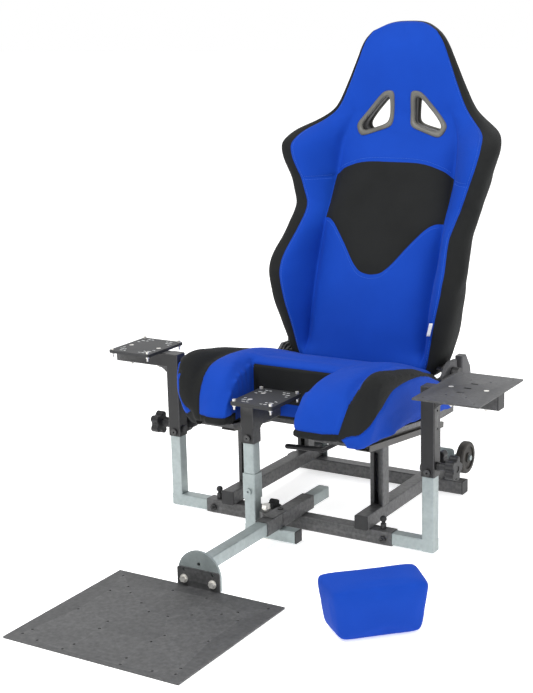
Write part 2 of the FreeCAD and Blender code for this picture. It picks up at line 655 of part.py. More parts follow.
def pedal_bracket():
    # A plate with a half-round top, welded over the front end of the pedal tube.
    radius = PEDAL_FLANGE_WIDTH / 2
    straight = BRACKET_TOP - radius
    front = PEDAL_TUBE_FRONT - BRACKET_THICK
    plate = box(-radius, radius, front, PEDAL_TUBE_FRONT, 5, straight)
    plate = plate.fuse(rod("y", radius, (0, front, straight), BRACKET_THICK))
    plate = plate.cut(box(-radius, radius, front, PEDAL_TUBE_FRONT, -radius, 5)).removeSplitter()
    for sign in (1, -1):
        plate = plate.cut(rod("y", 4.2, (sign * PEDAL_BOLT_X, front - 1, PEDAL_BOLT_Z), 12))
    return plate.cut(rod("y", 4.2, (0, front - 1, PEDAL_TUBE_Z + 7), 12))


def pedal_bolts():
    front = PEDAL_TUBE_FRONT - BRACKET_THICK - PEDAL_PLATE_THICK
    bolts = []
    for sign in (1, -1):
        x = sign * PEDAL_BOLT_X
        washer = rod("y", 10, (x, front - 2, PEDAL_BOLT_Z), 2)
        head = hexagon("y", 13, (x, front - 8, PEDAL_BOLT_Z), 6)
        shank = rod("y", 4, (x, front - 4, PEDAL_BOLT_Z), 24)
        nut = hexagon("y", 13, (x, PEDAL_TUBE_FRONT, PEDAL_BOLT_Z), 6)
        bolts.append(washer.fuse(head).fuse(shank).fuse(nut))
    return bolts


def pedals():
    tube = square_tube("y", PEDAL_TUBE_FRONT, PEDAL_TUBE_REAR, {"x": 0, "z": PEDAL_TUBE_Z}, SLIDER)
    save("pedal_tube", tube)
    save("pedal_bracket", pedal_bracket())
    save("pedal_plate", pedal_plate())
    save("pedal_bolts", *pedal_bolts())


# ---- seat ----
def seat_slides():
    slides = []
    for sign in (1, -1):
        x = sign * RAIL_X
        z = FRONT_PILLAR_TOP
        foot = box(x - 14, x + 14, -10, 390, z + 2.5 + GAP, z + 7)
        stem = box(x - 9, x + 9, -10, 390, z + 6, z + 28)
        slides.append(foot.fuse(stem).removeSplitter())
    return [tilt_with_seat(slide) for slide in slides]


def seat_pan():
    # A steel pan on both slides, open in front under the recess.
    z = FRONT_PILLAR_TOP + 28
    pan = box(-215, 215, -120, 300, z, z + 11.7)
    pan = pan.cut(box(-RECESS_FRONT_X - 8, RECESS_FRONT_X + 8, -121, RECESS_REAR_Y, z - 1, z + 13))
    return tilt_with_seat(pan)


CUSHION_BOTTOM = FRONT_PILLAR_TOP + 40
BOLSTER_CREST = ((-152, 352), (-140, 395), (-110, 420), (-60, 428), (20, 425), (90, 412), (170, 386),
                 (250, 358), (276, 338))


def bolster_profile(sign, x_inner, x_outer, y_end):
    # The side profile of a bolster, from its front to y_end, between two planes across X.
    crest = [point for point in BOLSTER_CREST if point[0] <= y_end]
    top = spline([(0, y, z) for y, z in crest])
    front_y, front_z = crest[0]
    rear_y, rear_z = crest[-1]
    corners = [V(0, rear_y, rear_z), V(0, rear_y, 200), V(0, front_y, 200), V(0, front_y, front_z)]
    face = Part.Face(Part.Wire([top] + Part.makePolygon(corners).Edges))
    start = min(sign * x_inner, sign * x_outer)
    return face.extrude(V(x_outer - x_inner, 0, 0)).translated(V(start, 0, 0))


def cushion_bolster(sign):
    # A leg bolster beside the recess, which runs on as a lower hump along the side.
    points = [V(sign * RECESS_FRONT_X, RECESS_FRONT_Y, 0), V(sign * (SEAT_HALF_WIDTH - 10), -136, 0),
              V(sign * SEAT_HALF_WIDTH, -100, 0), V(sign * SEAT_HALF_WIDTH, 276, 0),
              V(sign * 205, 276, 0), V(sign * 205, RECESS_REAR_Y, 0), V(sign * RECESS_REAR_X, RECESS_REAR_Y, 0)]
    plan = Part.Face(Part.makePolygon(points + points[:1])).extrude(V(0, 0, 600))
    corner = [edge for edge in edges_along(plan, "z") if edge.BoundBox.YMax < RECESS_FRONT_Y + 1]
    plan = plan.makeFillet(26, corner)
    solid = bolster_profile(sign, 60, SEAT_HALF_WIDTH + 4, 276).common(plan)
    under = tilt_with_seat(box(-400, 400, -300, 500, 0, CUSHION_BOTTOM))
    return solid.cut(under)


def cushion_rear():
    # The sitting surface behind the recess.
    top = CUSHION_BOTTOM + 128
    block = box(-204.6, 204.6, RECESS_REAR_Y + 0.4, 292, CUSHION_BOTTOM - 60, top)
    crown = tilt_with_seat(block.makeFillet(18, [edge for edge in block.Edges if edge.BoundBox.ZMin > top - 1]))
    level = box(-204.6, 204.6, RECESS_REAR_Y + 0.4, 292, 100, 600)
    under = tilt_with_seat(box(-400, 400, -300, 500, 0, CUSHION_BOTTOM))
    return crown.common(level).cut(under)


def insert_outline(scale, height):
    # A symmetrical trapezium, wider at the rear, its front towards -Y.
    front, rear = INSERT_FRONT_WIDTH / 2 * scale, INSERT_REAR_WIDTH / 2 * scale
    half = INSERT_DEPTH / 2
    points = [V(-front, -half, height), V(front, -half, height), V(rear, half, height), V(-rear, half, height)]
    return Part.makePolygon(points + points[:1])


def insert_cushion():
    # The loose cushion stands on the floor the way it sits in the recess.
    block = Part.makeLoft([insert_outline(0.85, 0), insert_outline(1.0, INSERT_HEIGHT)], True, True)
    block = block.makeFillet(21, block.Edges)
    block.rotate(V(0, 0, 0), V(0, 0, 1), INSERT_TURN)
    return block.translated(V(INSERT_X, INSERT_Y, 0))


# Backrest stations: height, then half width and depth of the front seam, of the widest line
# of the side, depth of the back, of the front on the centre line and in the side groove.
BACKREST_STATIONS = (
    (352, 186, 334, 222, 366, 420, 342, 360),
    (400, 196, 330, 240, 362, 436, 350, 372),
    (480, 216, 321, 268, 356, 455, 372, 398),
    (560, 232, 319, 294, 356, 480, 398, 420),
    (640, 227, 366, 282, 402, 522, 430, 448),
    (730, 221, 450, 263, 486, 578, 470, 486),
    (800, 243, 463, 285, 500, 610, 506, 524),
    (880, 271, 459, 308, 502, 640, 552, 562),
    (928, 258, 508, 290, 542, 655, 574, 580),
    (968, 200, 566, 216, 600, 664, 586, 588),
    (1030, 164, 582, 178, 612, 670, 585, 585),
    (1100, 136, 587, 150, 618, 674, 583, 584),
    (1160, 110, 592, 124, 622, 672, 590, 590),
    (1194, 84, 602, 92, 626, 660, 600, 601),
    (1208, 56, 614, 60, 628, 646, 612, 613),
)
GROOVE_X = 168.0
PAD_DEPTH = 34.0


def spline(points):
    curve = Part.BSplineCurve()
    curve.interpolate([V(*point) for point in points])
    return curve.toShape()


def mirrored(points):
    # Points from the right-hand end to the centre line, continued to the left-hand end.
    return points + [(-x, y, z) for x, y, z in reversed(points[:-1])]


def backrest_curves(station):
    z, seam_x, seam_y, side_x, side_y, back_y, centre_y, groove_y = station
    groove_x = min(GROOVE_X, 0.72 * seam_x)
    ridge_x = (groove_x + seam_x) / 2 + 4
    ridge_y = seam_y + (groove_y - seam_y) * 0.28
    front = mirrored([(seam_x, seam_y, z), (ridge_x, ridge_y, z), (groove_x, groove_y, z),
                      (groove_x * 0.5, (centre_y + groove_y) / 2 - 2, z), (0, centre_y, z)])
    depth = min(PAD_DEPTH, (back_y - centre_y) * 0.5)
    inner = mirrored([(seam_x, seam_y, z), (groove_x + 6, groove_y + depth, z),
                      (groove_x * 0.5, centre_y + depth, z), (0, centre_y + depth, z)])
    back = mirrored([(seam_x, seam_y, z), (side_x, side_y, z), (side_x * 0.86, (side_y + back_y) / 2, z),
                     (side_x * 0.5, back_y - 6, z), (0, back_y, z)])
    return spline(front), spline(inner), spline(back)


def backrest_solids():
    pads, shells = [], []
    for station in BACKREST_STATIONS:
        front, inner, back = backrest_curves(station)
        pads.append(Part.Wire([front, inner]))
        shells.append(Part.Wire([inner, back]))
    pad = Part.makeLoft(pads, True, False)
    shell = Part.makeLoft(shells, True, False)
    return pad, shell


HARNESS_CORNERS = ((22, 1030), (24, 933), (118, 903), (138, 936), (54, 1030))
BEZEL_PROUD = 3.0


def harness_prism(sign, inset, radius):
    # The left-hand opening seen from the front, shrunk by inset, right through the backrest.
    points = [V(sign * x, 450, z) for x, z in HARNESS_CORNERS]
    outline = Part.makePolygon(points + points[:1])
    if inset:
        outline = outline.makeOffset2D(-inset, 2)
    prism = Part.Face(outline).extrude(V(0, 300, 0))
    return prism.makeFillet(radius, edges_along(prism, "y"))


def harness_bezels(pad, shell):
    # A trim ring in each opening, following the front and the back of the backrest and standing
    # a little proud in front.
    body = pad.fuse(shell).translated(V(0, -BEZEL_PROUD, 0))
    bezels = []
    for sign in (1, -1):
        ring = harness_prism(sign, 0.3, 11).cut(harness_prism(sign, 8, 7))
        bezels.append(ring.common(body))
    return bezels


def backrest():
    pad, shell = backrest_solids()
    bezels = harness_bezels(pad, shell)
    for sign in (1, -1):
        opening = harness_prism(sign, 0, 11)
        pad = pad.cut(opening)
        shell = shell.cut(opening)
    save("backrest_pad", pad)
    save("backrest_shell", shell)
    save("harness_bezels", *bezels)
    save("backrest_hinge", backrest_hinge())


def backrest_hinge():
    # The cross bar under the backrest and its two hinge cheeks.
    top = BACKREST_BOTTOM - 0.2
    bar = box(-RECLINER_X, RECLINER_X, 346, 396, top - 8, top)
    for sign in (1, -1):
        start, end = sorted((sign * RECLINER_X, sign * (RECLINER_X - 6)))
        cheek = box(start, end, RECLINER_Y - 22, RECLINER_Y + 22, RECLINER_Z, top)
        bar = bar.fuse(cheek).fuse(rod("x", 22, (start, RECLINER_Y, RECLINER_Z), 6))
    return bar.cut(rod("x", 8.06, (-400, RECLINER_Y, RECLINER_Z), 800)).removeSplitter()


def recliner_bracket(sign):
    # The seat side of the hinge: a plate with a foot on the pan, and the hinge pin.
    inner = RECLINER_X + GAP
    start, end = sorted((sign * inner, sign * (inner + 5)))
    plate = box(start, end, RECLINER_Y - 60, RECLINER_Y + 30, 240, RECLINER_Z)
    plate = plate.fuse(rod("x", 30, (start, RECLINER_Y, RECLINER_Z), 5))
    foot_start, foot_end = sorted((sign * 190, sign * (inner + 5)))
    foot = box(foot_start, foot_end, RECLINER_Y - 60, RECLINER_Y + 30, 226, 231)
    web = box(start, end, RECLINER_Y - 60, RECLINER_Y + 30, 226, 241)
    pin_start = min(sign * (RECLINER_X - 6), sign * (inner + 5))
    pin = rod("x", 8, (pin_start, RECLINER_Y, RECLINER_Z), inner + 11 - RECLINER_X)
    bracket = plate.fuse(web).fuse(foot).fuse(pin).removeSplitter()
    return bracket.cut(tilt_with_seat(box(-400, 400, -300, 330, 0, FRONT_PILLAR_TOP + 39.8)))


def side_cover(sign, outline, thickness):
    # A plastic cover over the hinge, rounded on its outer rim.
    x = sign * (RECLINER_X + GAP + 5.2)
    points = [V(x, y, z) for y, z in outline]
    cover = Part.Face(Part.makePolygon(points + points[:1])).extrude(V(sign * thickness, 0, 0))
    rim_x = x + sign * thickness
    rims = [edge for edge in cover.Edges
            if abs(edge.BoundBox.XMin - rim_x) < 0.01 and abs(edge.BoundBox.XMax - rim_x) < 0.01]
    return cover.makeFillet(4, rims)


def recliner_covers():
    covers = []
    for sign in (1, -1):
        front = side_cover(sign, ((292, 272), (385, 272), (394, 340), (388, 366), (345, 368), (306, 340)), 10)
        rear = side_cover(sign, ((395, 300), (458, 300), (452, 336), (424, 372), (398, 372)), 20)
        spindle_hole = rod("x", 6.06, (sign * 300 - 100, RECLINER_Y, RECLINER_Z), 200)
        covers += [front.cut(spindle_hole), rear]
    return covers


def recline_lever():
    # The release lever on the left-hand hinge cover, pointing forwards.
    start = RECLINER_X + GAP + 15.6
    hub = rod("x", 17, (start, RECLINER_Y, RECLINER_Z), 19)
    arm = rounded_box(start + 11, start + 19, RECLINER_Y - 108, RECLINER_Y, RECLINER_Z - 10, RECLINER_Z + 10,
                      3.5, "y")
    spindle = rod("x", 6, (start - 9, RECLINER_Y, RECLINER_Z), 10)
    return hub.fuse(arm).fuse(spindle).removeSplitter()


def slide_lever():
    # The bar under the front edge: a grip, then an arm up and across to the latch on the left.
    route = [V(-44, 25, 194), V(57, 25, 199.5), V(96, 60, 222), V(158, 60, 222)]
    lever = Part.makeSphere(6.5, route[0])
    for start, end in zip(route, route[1:]):
        run = end.sub(start)
        lever = lever.fuse(Part.makeCylinder(6.5, run.Length, start, run)).fuse(Part.makeSphere(6.5, end))
    return lever


def seat():
    save("seat_slides", *seat_slides())
    save("seat_pan", seat_pan())
    save("cushion_rear", cushion_rear())
    for name, sign in SIDES:
        save("cushion_bolster_" + name, cushion_bolster(sign))
    save("recliner_brackets", *[recliner_bracket(sign) for sign in (1, -1)])
    save("recliner_covers", *recliner_covers())
    save("recline_lever", recline_lever())
    save("slide_lever", slide_lever())
    save("insert_cushion", insert_cushion())


def frame():
    save("front_cross_tube", front_cross_tube())
    save("rear_cross_tube", cross_tube(REAR_TUBE_Y))
    save("tube_end_caps", *tube_end_caps())
    for name, sign in SIDES:
        save("side_rail_" + name, side_rail(sign))
        save("pillars_" + name, pillar(sign, FRONT_PILLAR_Y), pillar(sign, REAR_PILLAR_Y))
        save("seat_rail_" + name, seat_rail(sign))
        save("caster_wheel_" + name, caster_wheel(sign))
    save("pedal_sleeve", pedal_sleeve())
    save("stick_collar", stick_collar())
    save("pivot_bolt", pivot_bolt())
    save("frame_screws", *frame_screws())
    save("caster_brackets", *caster_brackets())
    save("plunger_bodies", *plunger_bodies())
    save("sleeve_knob", place(star_knob(12, 25), (-1, 0, 0), (-TUBE / 2 - 6, -45, PEDAL_TUBE_Z)))


def main():
    os.makedirs("parts", exist_ok=True)
    frame()
    side_arms()
    centre_stick()
    pedals()
    seat()
    backrest()
    for name, shape in FILES.items():
        limits = shape.optimalBoundingBox(False)
        print(name, len(shape.Solids), round(shape.Volume),
              [round(value) for value in (limits.XMin, limits.YMin, limits.ZMin,
                                          limits.XMax, limits.YMax, limits.ZMax)])
    print(len(FILES), "nodes")


main()
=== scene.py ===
"""The looks of the racing seat: fabric covers, steel, plastic, studio and camera."""
import json
import math

import bmesh
import bpy
from mathutils import Matrix, Vector
from mathutils.bvhtree import BVHTree


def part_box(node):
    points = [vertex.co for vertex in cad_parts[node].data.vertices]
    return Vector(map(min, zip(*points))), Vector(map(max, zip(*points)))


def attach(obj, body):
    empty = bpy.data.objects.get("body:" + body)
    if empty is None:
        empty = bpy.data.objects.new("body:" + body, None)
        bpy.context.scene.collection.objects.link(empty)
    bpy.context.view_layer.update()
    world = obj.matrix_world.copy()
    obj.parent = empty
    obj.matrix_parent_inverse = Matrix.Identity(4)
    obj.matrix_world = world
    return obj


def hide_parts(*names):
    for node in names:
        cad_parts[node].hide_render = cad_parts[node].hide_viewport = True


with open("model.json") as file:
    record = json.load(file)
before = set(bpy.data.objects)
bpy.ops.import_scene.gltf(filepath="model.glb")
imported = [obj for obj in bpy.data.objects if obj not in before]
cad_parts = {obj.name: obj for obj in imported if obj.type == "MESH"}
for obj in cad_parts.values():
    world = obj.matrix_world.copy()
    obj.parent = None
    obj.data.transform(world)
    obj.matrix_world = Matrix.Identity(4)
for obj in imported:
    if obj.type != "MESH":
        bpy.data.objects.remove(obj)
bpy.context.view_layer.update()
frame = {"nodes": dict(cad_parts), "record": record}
NODES = frame["nodes"]
MM = 0.001

# Colours, linear
BLUE = (0.003, 0.056, 0.43, 1.0)
BLUE_DARK = (0.001, 0.044, 0.36, 1.0)
BLACK_CLOTH = (0.007, 0.0075, 0.0075, 1.0)
BLACK_CLOTH_LIGHT = (0.015, 0.016, 0.016, 1.0)

# Cloth
CLOTH_FRAMES = 20
CLOTH_PRESSURE = 4.0
FOAM_SUPPORT = 0.9
SEAM_DEPTH = 2.6
SEAM_WIDTH = 3.0


# Small helpers

def smooth_table(rows):
    """A function of the key in the first column that follows the other columns without overshoot."""
    keys = [row[0] for row in rows]
    columns = list(zip(*[row[1:] for row in rows]))
    slopes = []
    for values in columns:
        secants = [(values[i + 1] - values[i]) / (keys[i + 1] - keys[i]) for i in range(len(keys) - 1)]
        inner = [2 * a * b / (a + b) if a * b > 0 else 0.0 for a, b in zip(secants, secants[1:])]
        slopes.append([secants[0]] + inner + [secants[-1]])

    def value(key):
        key = min(max(key, keys[0]), keys[-1])
        i = 0
        while i < len(keys) - 2 and key > keys[i + 1]:
            i += 1
        step = keys[i + 1] - keys[i]
        t = (key - keys[i]) / step
        start = (1 + 2 * t) * (1 - t) ** 2
        end = t * t * (3 - 2 * t)
        leave = t * (1 - t) ** 2 * step
        arrive = t * t * (t - 1) * step
        found = [v[i] * start + v[i + 1] * end + s[i] * leave + s[i + 1] * arrive
                 for v, s in zip(columns, slopes)]
        return found if len(found) > 1 else found[0]
    return value


def smoothstep(low, high, value):
    t = min(max((value - low) / (high - low), 0.0), 1.0)
    return t * t * (3 - 2 * t)


def mix(a, b, share):
    return a + (b - a) * share


def new_piece(name, mesh, body, material):
    """Turns a bmesh in millimetres into a smooth-shaded object that rides on a body."""
    data = bpy.data.meshes.new(name)
    bmesh.ops.scale(mesh, vec=(MM, MM, MM), verts=mesh.verts)
    for face in mesh.faces:
        face.smooth = True
    mesh.to_mesh(data)
    mesh.free()
    piece = bpy.data.objects.new(name, data)
    bpy.context.scene.collection.objects.link(piece)
    data.materials.append(material)
    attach(piece, body)
    return piece


def cut_along(mesh, distance):
    """Adds edges to a bmesh along the curve where distance(point) changes sign."""
    values = {vertex: distance(vertex.co) for vertex in mesh.verts}
    on_curve = set()
    for edge in list(mesh.edges):
        a, b = edge.verts
        if values[a] * values[b] < 0:
            share = values[a] / (values[a] - values[b])
            on_curve.add(bmesh.utils.edge_split(edge, a, share)[1])
    for face in list(mesh.faces):
        ends = [vertex for vertex in face.verts if vertex in on_curve]
        if len(ends) == 2 and not any(set(edge.verts) == set(ends) for edge in face.edges):
            bmesh.utils.face_split(face, ends[0], ends[1])


def press_seams(mesh, distances):
    """Pulls the surface in along each curve where one of the distances is zero."""
    mesh.normal_update()
    moves = []
    for vertex in mesh.verts:
        nearest = min(abs(distance(vertex.co)) for distance in distances)
        moves.append(vertex.normal * -SEAM_DEPTH * math.exp(-(nearest / SEAM_WIDTH) ** 2))
    for vertex, move in zip(mesh.verts, moves):
        vertex.co += move


def bmesh_of(piece):
    """The piece's mesh as a bmesh in millimetres."""
    mesh = bmesh.new()
    mesh.from_mesh(piece.data)
    bmesh.ops.scale(mesh, vec=(1 / MM, 1 / MM, 1 / MM), verts=mesh.verts)
    return mesh


def surface_of(piece):
    """The piece's surface for looking up places on it, in millimetres."""
    mesh = bmesh_of(piece)
    tree = BVHTree.FromBMesh(mesh)
    mesh.free()
    return tree


def scratch_object(name, mesh):
    data = bpy.data.meshes.new(name)
    bmesh.ops.scale(mesh, vec=(MM, MM, MM), verts=mesh.verts)
    mesh.to_mesh(data)
    mesh.free()
    piece = bpy.data.objects.new(name, data)
    bpy.context.scene.collection.objects.link(piece)
    return piece


def applied(piece):
    """Applies the piece's modifiers and returns its bmesh in millimetres; the object is removed."""
    graph = bpy.context.evaluated_depsgraph_get()
    data = bpy.data.meshes.new_from_object(piece.evaluated_get(graph))
    old = piece.data
    piece.modifiers.clear()
    piece.data = data
    bpy.data.meshes.remove(old)
    mesh = bmesh_of(piece)
    bpy.data.objects.remove(piece)
    return mesh


def inflate(mesh, hold, cap, pressure=CLOTH_PRESSURE):
    """Fills a closed cover with air by cloth simulation. hold(point) is 1 where it is sewn down and
    0 where it is free, no point moves further than cap, and the foam inside keeps it from sinking.
    Returns the puffed bmesh."""
    holds = [hold(vertex.co) for vertex in mesh.verts]
    mesh.normal_update()
    rest = [(vertex.co.copy(), vertex.normal.copy()) for vertex in mesh.verts]
    piece = scratch_object("cloth_work", mesh)
    group = piece.vertex_groups.new(name="sewn")
    for index, weight in enumerate(holds):
        if weight > 0:
            group.add([index], min(weight, 1.0), "REPLACE")
    cloth = piece.modifiers.new("cloth", "CLOTH")
    settings = cloth.settings
    settings.quality = 4
    settings.mass = 0.3
    settings.tension_stiffness = 12
    settings.compression_stiffness = 12
    settings.shear_stiffness = 6
    settings.bending_stiffness = 0.6
    settings.use_pressure = True
    settings.uniform_pressure_force = pressure
    settings.effector_weights.gravity = 0
    settings.vertex_group_mass = group.name
    cloth.collision_settings.use_collision = False
    cloth.point_cache.frame_start = 1
    cloth.point_cache.frame_end = CLOTH_FRAMES
    scene = bpy.context.scene
    for step in range(1, CLOTH_FRAMES + 1):
        scene.frame_set(step)
    puffed = applied(piece)
    scene.frame_set(1)
    for vertex, (start, outward) in zip(puffed.verts, rest):
        move = vertex.co - start
        sunk = min(move.dot(outward), 0.0)
        move -= outward * sunk * FOAM_SUPPORT
        length = move.length
        if length > 0:
            vertex.co = start + move * (cap * math.tanh(length / cap) / length)
    return puffed


def subdivided(mesh, levels=1):
    piece = scratch_object("subdivide_work", mesh)
    modifier = piece.modifiers.new("subdivide", "SUBSURF")
    modifier.levels = levels
    modifier.render_levels = levels
    return applied(piece)


def remeshed(mesh, voxel, smoothing):
    piece = scratch_object("remesh_work", mesh)
    modifier = piece.modifiers.new("remesh", "REMESH")
    modifier.mode = "VOXEL"
    modifier.voxel_size = voxel * MM
    relax = piece.modifiers.new("relax", "SMOOTH")
    relax.factor = 0.5
    relax.iterations = smoothing
    return applied(piece)


# Materials

class Nodes:
    """Shorthand for building one material's node tree."""

    def __init__(self, name):
        self.material = bpy.data.materials.new(name)
        self.material.use_nodes = True
        self.tree = self.material.node_tree
        self.shader = self.tree.nodes["Principled BSDF"]
        self.place = self.tree.nodes.new("ShaderNodeTexCoord").outputs["Object"]

    @classmethod
    def of(cls, material):
        """The shorthand for a material that already has its nodes."""
        nodes = cls.__new__(cls)
        nodes.material = material
        nodes.tree = material.node_tree
        nodes.shader = nodes.tree.nodes["Principled BSDF"]
        nodes.place = nodes.tree.nodes["Texture Coordinate"].outputs["Object"]
        return nodes

    def add(self, kind, **values):
        node = self.tree.nodes.new("ShaderNode" + kind)
        for key, value in values.items():
            setattr(node, key, value)
        return node

    def link(self, source, target):
        self.tree.links.new(source, target)

    def math(self, operation, a, b=None):
        node = self.add("Math", operation=operation)
        for socket, value in zip(node.inputs, (a, b)):
            if value is None:
                continue
            if isinstance(value, (int, float)):
                socket.default_value = value
            else:
                self.link(value, socket)
        return node.outputs[0]

    def noise(self, scale, detail=2.0, roughness=0.5, stretch=None):
        texture = self.add("TexNoise")
        texture.inputs["Scale"].default_value = scale
        texture.inputs["Detail"].default_value = detail
        texture.inputs["Roughness"].default_value = roughness
        place = self.place
        if stretch:
            mapping = self.add("Mapping")
            mapping.inputs["Scale"].default_value = stretch
            self.link(self.place, mapping.inputs["Vector"])
            place = mapping.outputs[0]
        self.link(place, texture.inputs["Vector"])
        return texture.outputs["Fac"]

    def ramp(self, source, stops):
        ramp = self.add("ValToRGB")
        elements = ramp.color_ramp.elements
        while len(elements) < len(stops):
            elements.new(0.5)
        for element, (position, colour) in zip(elements, stops):
            element.position = position
            element.color = colour
        self.link(source, ramp.inputs[0])
        return ramp.outputs[0]

    def spread(self, source, low, high):
        node = self.add("MapRange")
        node.inputs["To Min"].default_value = low
        node.inputs["To Max"].default_value = high
        self.link(source, node.inputs["Value"])
        return node.outputs[0]

    def bump(self, source, distance, strength=1.0, normal=None):
        node = self.add("Bump")
        node.inputs["Strength"].default_value = strength
        node.inputs["Distance"].default_value = distance
        self.link(source, node.inputs["Height"])
        if normal:
            self.link(normal, node.inputs["Normal"])
        return node.outputs[0]

    def set(self, **values):
        for key, value in values.items():
            socket = self.shader.inputs[key.replace("_", " ")]
            if isinstance(value, bpy.types.NodeSocket):
                self.link(value, socket)
            else:
                socket.default_value = value
        return self.material


def cloth(name, colour, dark, thread, depth, sheen):
    """A knitted cover: fine loops, soft colour variation and a little sheen."""
    n = Nodes(name)
    split = n.add("SeparateXYZ")
    n.link(n.place, split.inputs[0])
    turns = math.tau / (thread * MM)
    waves = [n.math("SINE", n.math("MULTIPLY", output, turns)) for output in split.outputs]
    facing = n.add("SeparateXYZ")
    n.link(n.add("NewGeometry").outputs["Normal"], facing.inputs[0])
    total = None
    for axis, (first, second) in enumerate(((1, 2), (0, 2), (0, 1))):
        knit = n.math("MULTIPLY", waves[first], waves[second])
        share = n.math("MULTIPLY", knit, n.math("ABSOLUTE", facing.outputs[axis]))
        total = share if total is None else n.math("ADD", total, share)
    weave = n.math("ADD", n.math("MULTIPLY", total, 0.5), 0.5)
    clouds = n.noise(9, 3)
    fuzz = n.noise(900, 2)
    tone = n.math("ADD", n.math("MULTIPLY", clouds, 0.55),
                  n.math("ADD", n.math("MULTIPLY", weave, 0.25), n.math("MULTIPLY", fuzz, 0.2)))
    tint = n.ramp(tone, ((0.25, dark), (0.7, colour)))
    wrinkles = n.bump(n.noise(28, 3, 0.55), 0.0012, 0.35)
    height = n.math("ADD", weave, n.math("MULTIPLY", fuzz, 0.6))
    normal = n.bump(height, depth * MM, 0.7, wrinkles)
    n.set(Base_Color=tint, Roughness=n.spread(fuzz, 0.72, 0.9), Normal=normal)
    return n.set(Sheen_Weight=sheen, Sheen_Roughness=0.45, Specular_IOR_Level=0.2)


WORN_METAL = (0.30, 0.30, 0.30, 1.0)


def powder_coat(name, colour, light, roughness, grain=1400, worn=0.0):
    """Baked powder paint: orange-peel bumps, dusty patches and slightly lighter edges."""
    n = Nodes(name)
    patches = n.noise(14, 4, 0.6)
    speckle = n.noise(grain, 2)
    tone = n.math("ADD", n.math("MULTIPLY", patches, 0.7), n.math("MULTIPLY", speckle, 0.3))
    tint = n.ramp(tone, ((0.3, colour), (0.75, light)))
    if worn:
        edge = n.math("SUBTRACT", n.add("NewGeometry").outputs["Pointiness"], 0.52)
        wear = n.math("MULTIPLY", n.math("MULTIPLY", edge, 12.0), n.noise(120, 3))
        blend = n.add("Mix", data_type="RGBA")
        blend.clamp_factor = True
        n.link(n.math("MULTIPLY", wear, worn), blend.inputs["Factor"])
        n.link(tint, blend.inputs["A"])
        blend.inputs["B"].default_value = WORN_METAL
        tint = blend.outputs["Result"]
    n.set(Base_Color=tint, Roughness=n.spread(patches, roughness - 0.06, roughness + 0.1))
    return n.set(Normal=n.bump(speckle, 0.00012, 0.6), Specular_IOR_Level=0.45)


def zinc(name, colour, light, direction):
    """Galvanised tube: faint spangle, drawing lines along the tube and dull patches."""
    n = Nodes(name)
    spangle = n.add("TexVoronoi")
    spangle.inputs["Scale"].default_value = 120
    n.link(n.place, spangle.inputs["Vector"])
    lines = n.noise(60, 3, 0.6, direction)
    patches = n.noise(16, 4, 0.65)
    tone = n.math("ADD", n.math("MULTIPLY", patches, 0.5), n.math("MULTIPLY", lines, 0.4))
    tone = n.math("ADD", tone, n.math("MULTIPLY", spangle.outputs["Distance"], 0.1))
    tint = n.ramp(tone, ((0.3, colour), (0.62, light)))
    n.set(Base_Color=tint, Metallic=0.55, Roughness=n.spread(patches, 0.34, 0.52))
    return n.set(Normal=n.bump(lines, 0.0001, 0.5))


def bright_steel(name, colour, roughness):
    n = Nodes(name)
    patches = n.noise(90, 3)
    tint = n.ramp(patches, ((0.3, tuple(0.7 * c for c in colour[:3]) + (1.0,)), (0.65, colour)))
    n.set(Base_Color=tint, Metallic=0.6, Roughness=n.spread(patches, roughness, roughness + 0.15))
    return n.set(Normal=n.bump(n.noise(700, 2), 0.00008, 0.6))


def moulded(name, colour, light, roughness):
    """Moulded plastic with a fine spark-eroded grain."""
    n = Nodes(name)
    grain = n.noise(1100, 2)
    tint = n.ramp(n.noise(25, 3), ((0.3, colour), (0.7, light)))
    n.set(Base_Color=tint, Roughness=n.spread(grain, roughness - 0.05, roughness + 0.1))
    return n.set(Normal=n.bump(grain, 0.00025, 0.6), Specular_IOR_Level=0.4)


def tyre_rubber():
    n = Nodes("wheel_rubber")
    dust = n.noise(40, 4, 0.7)
    tint = n.ramp(dust, ((0.35, (0.018, 0.017, 0.015, 1)), (0.7, (0.06, 0.053, 0.045, 1))))
    n.set(Base_Color=tint, Roughness=n.spread(dust, 0.55, 0.8))
    return n.set(Normal=n.bump(n.noise(500, 2), 0.0002, 0.6))


def thread(name, dark, light):
    n = Nodes(name)
    twist = n.noise(1500, 2)
    tint = n.ramp(twist, ((0.3, dark), (0.7, light)))
    n.set(Base_Color=tint, Roughness=n.spread(twist, 0.6, 0.8))
    return n.set(Normal=n.bump(twist, 0.0003, 0.7))


PLATE_PAINT = ((0.022, 0.0225, 0.024, 1), (0.030, 0.031, 0.033, 1), 0.5)
BARE_METAL = (0.75, 0.76, 0.76, 1.0)
SLOT_MARGIN = 0.004

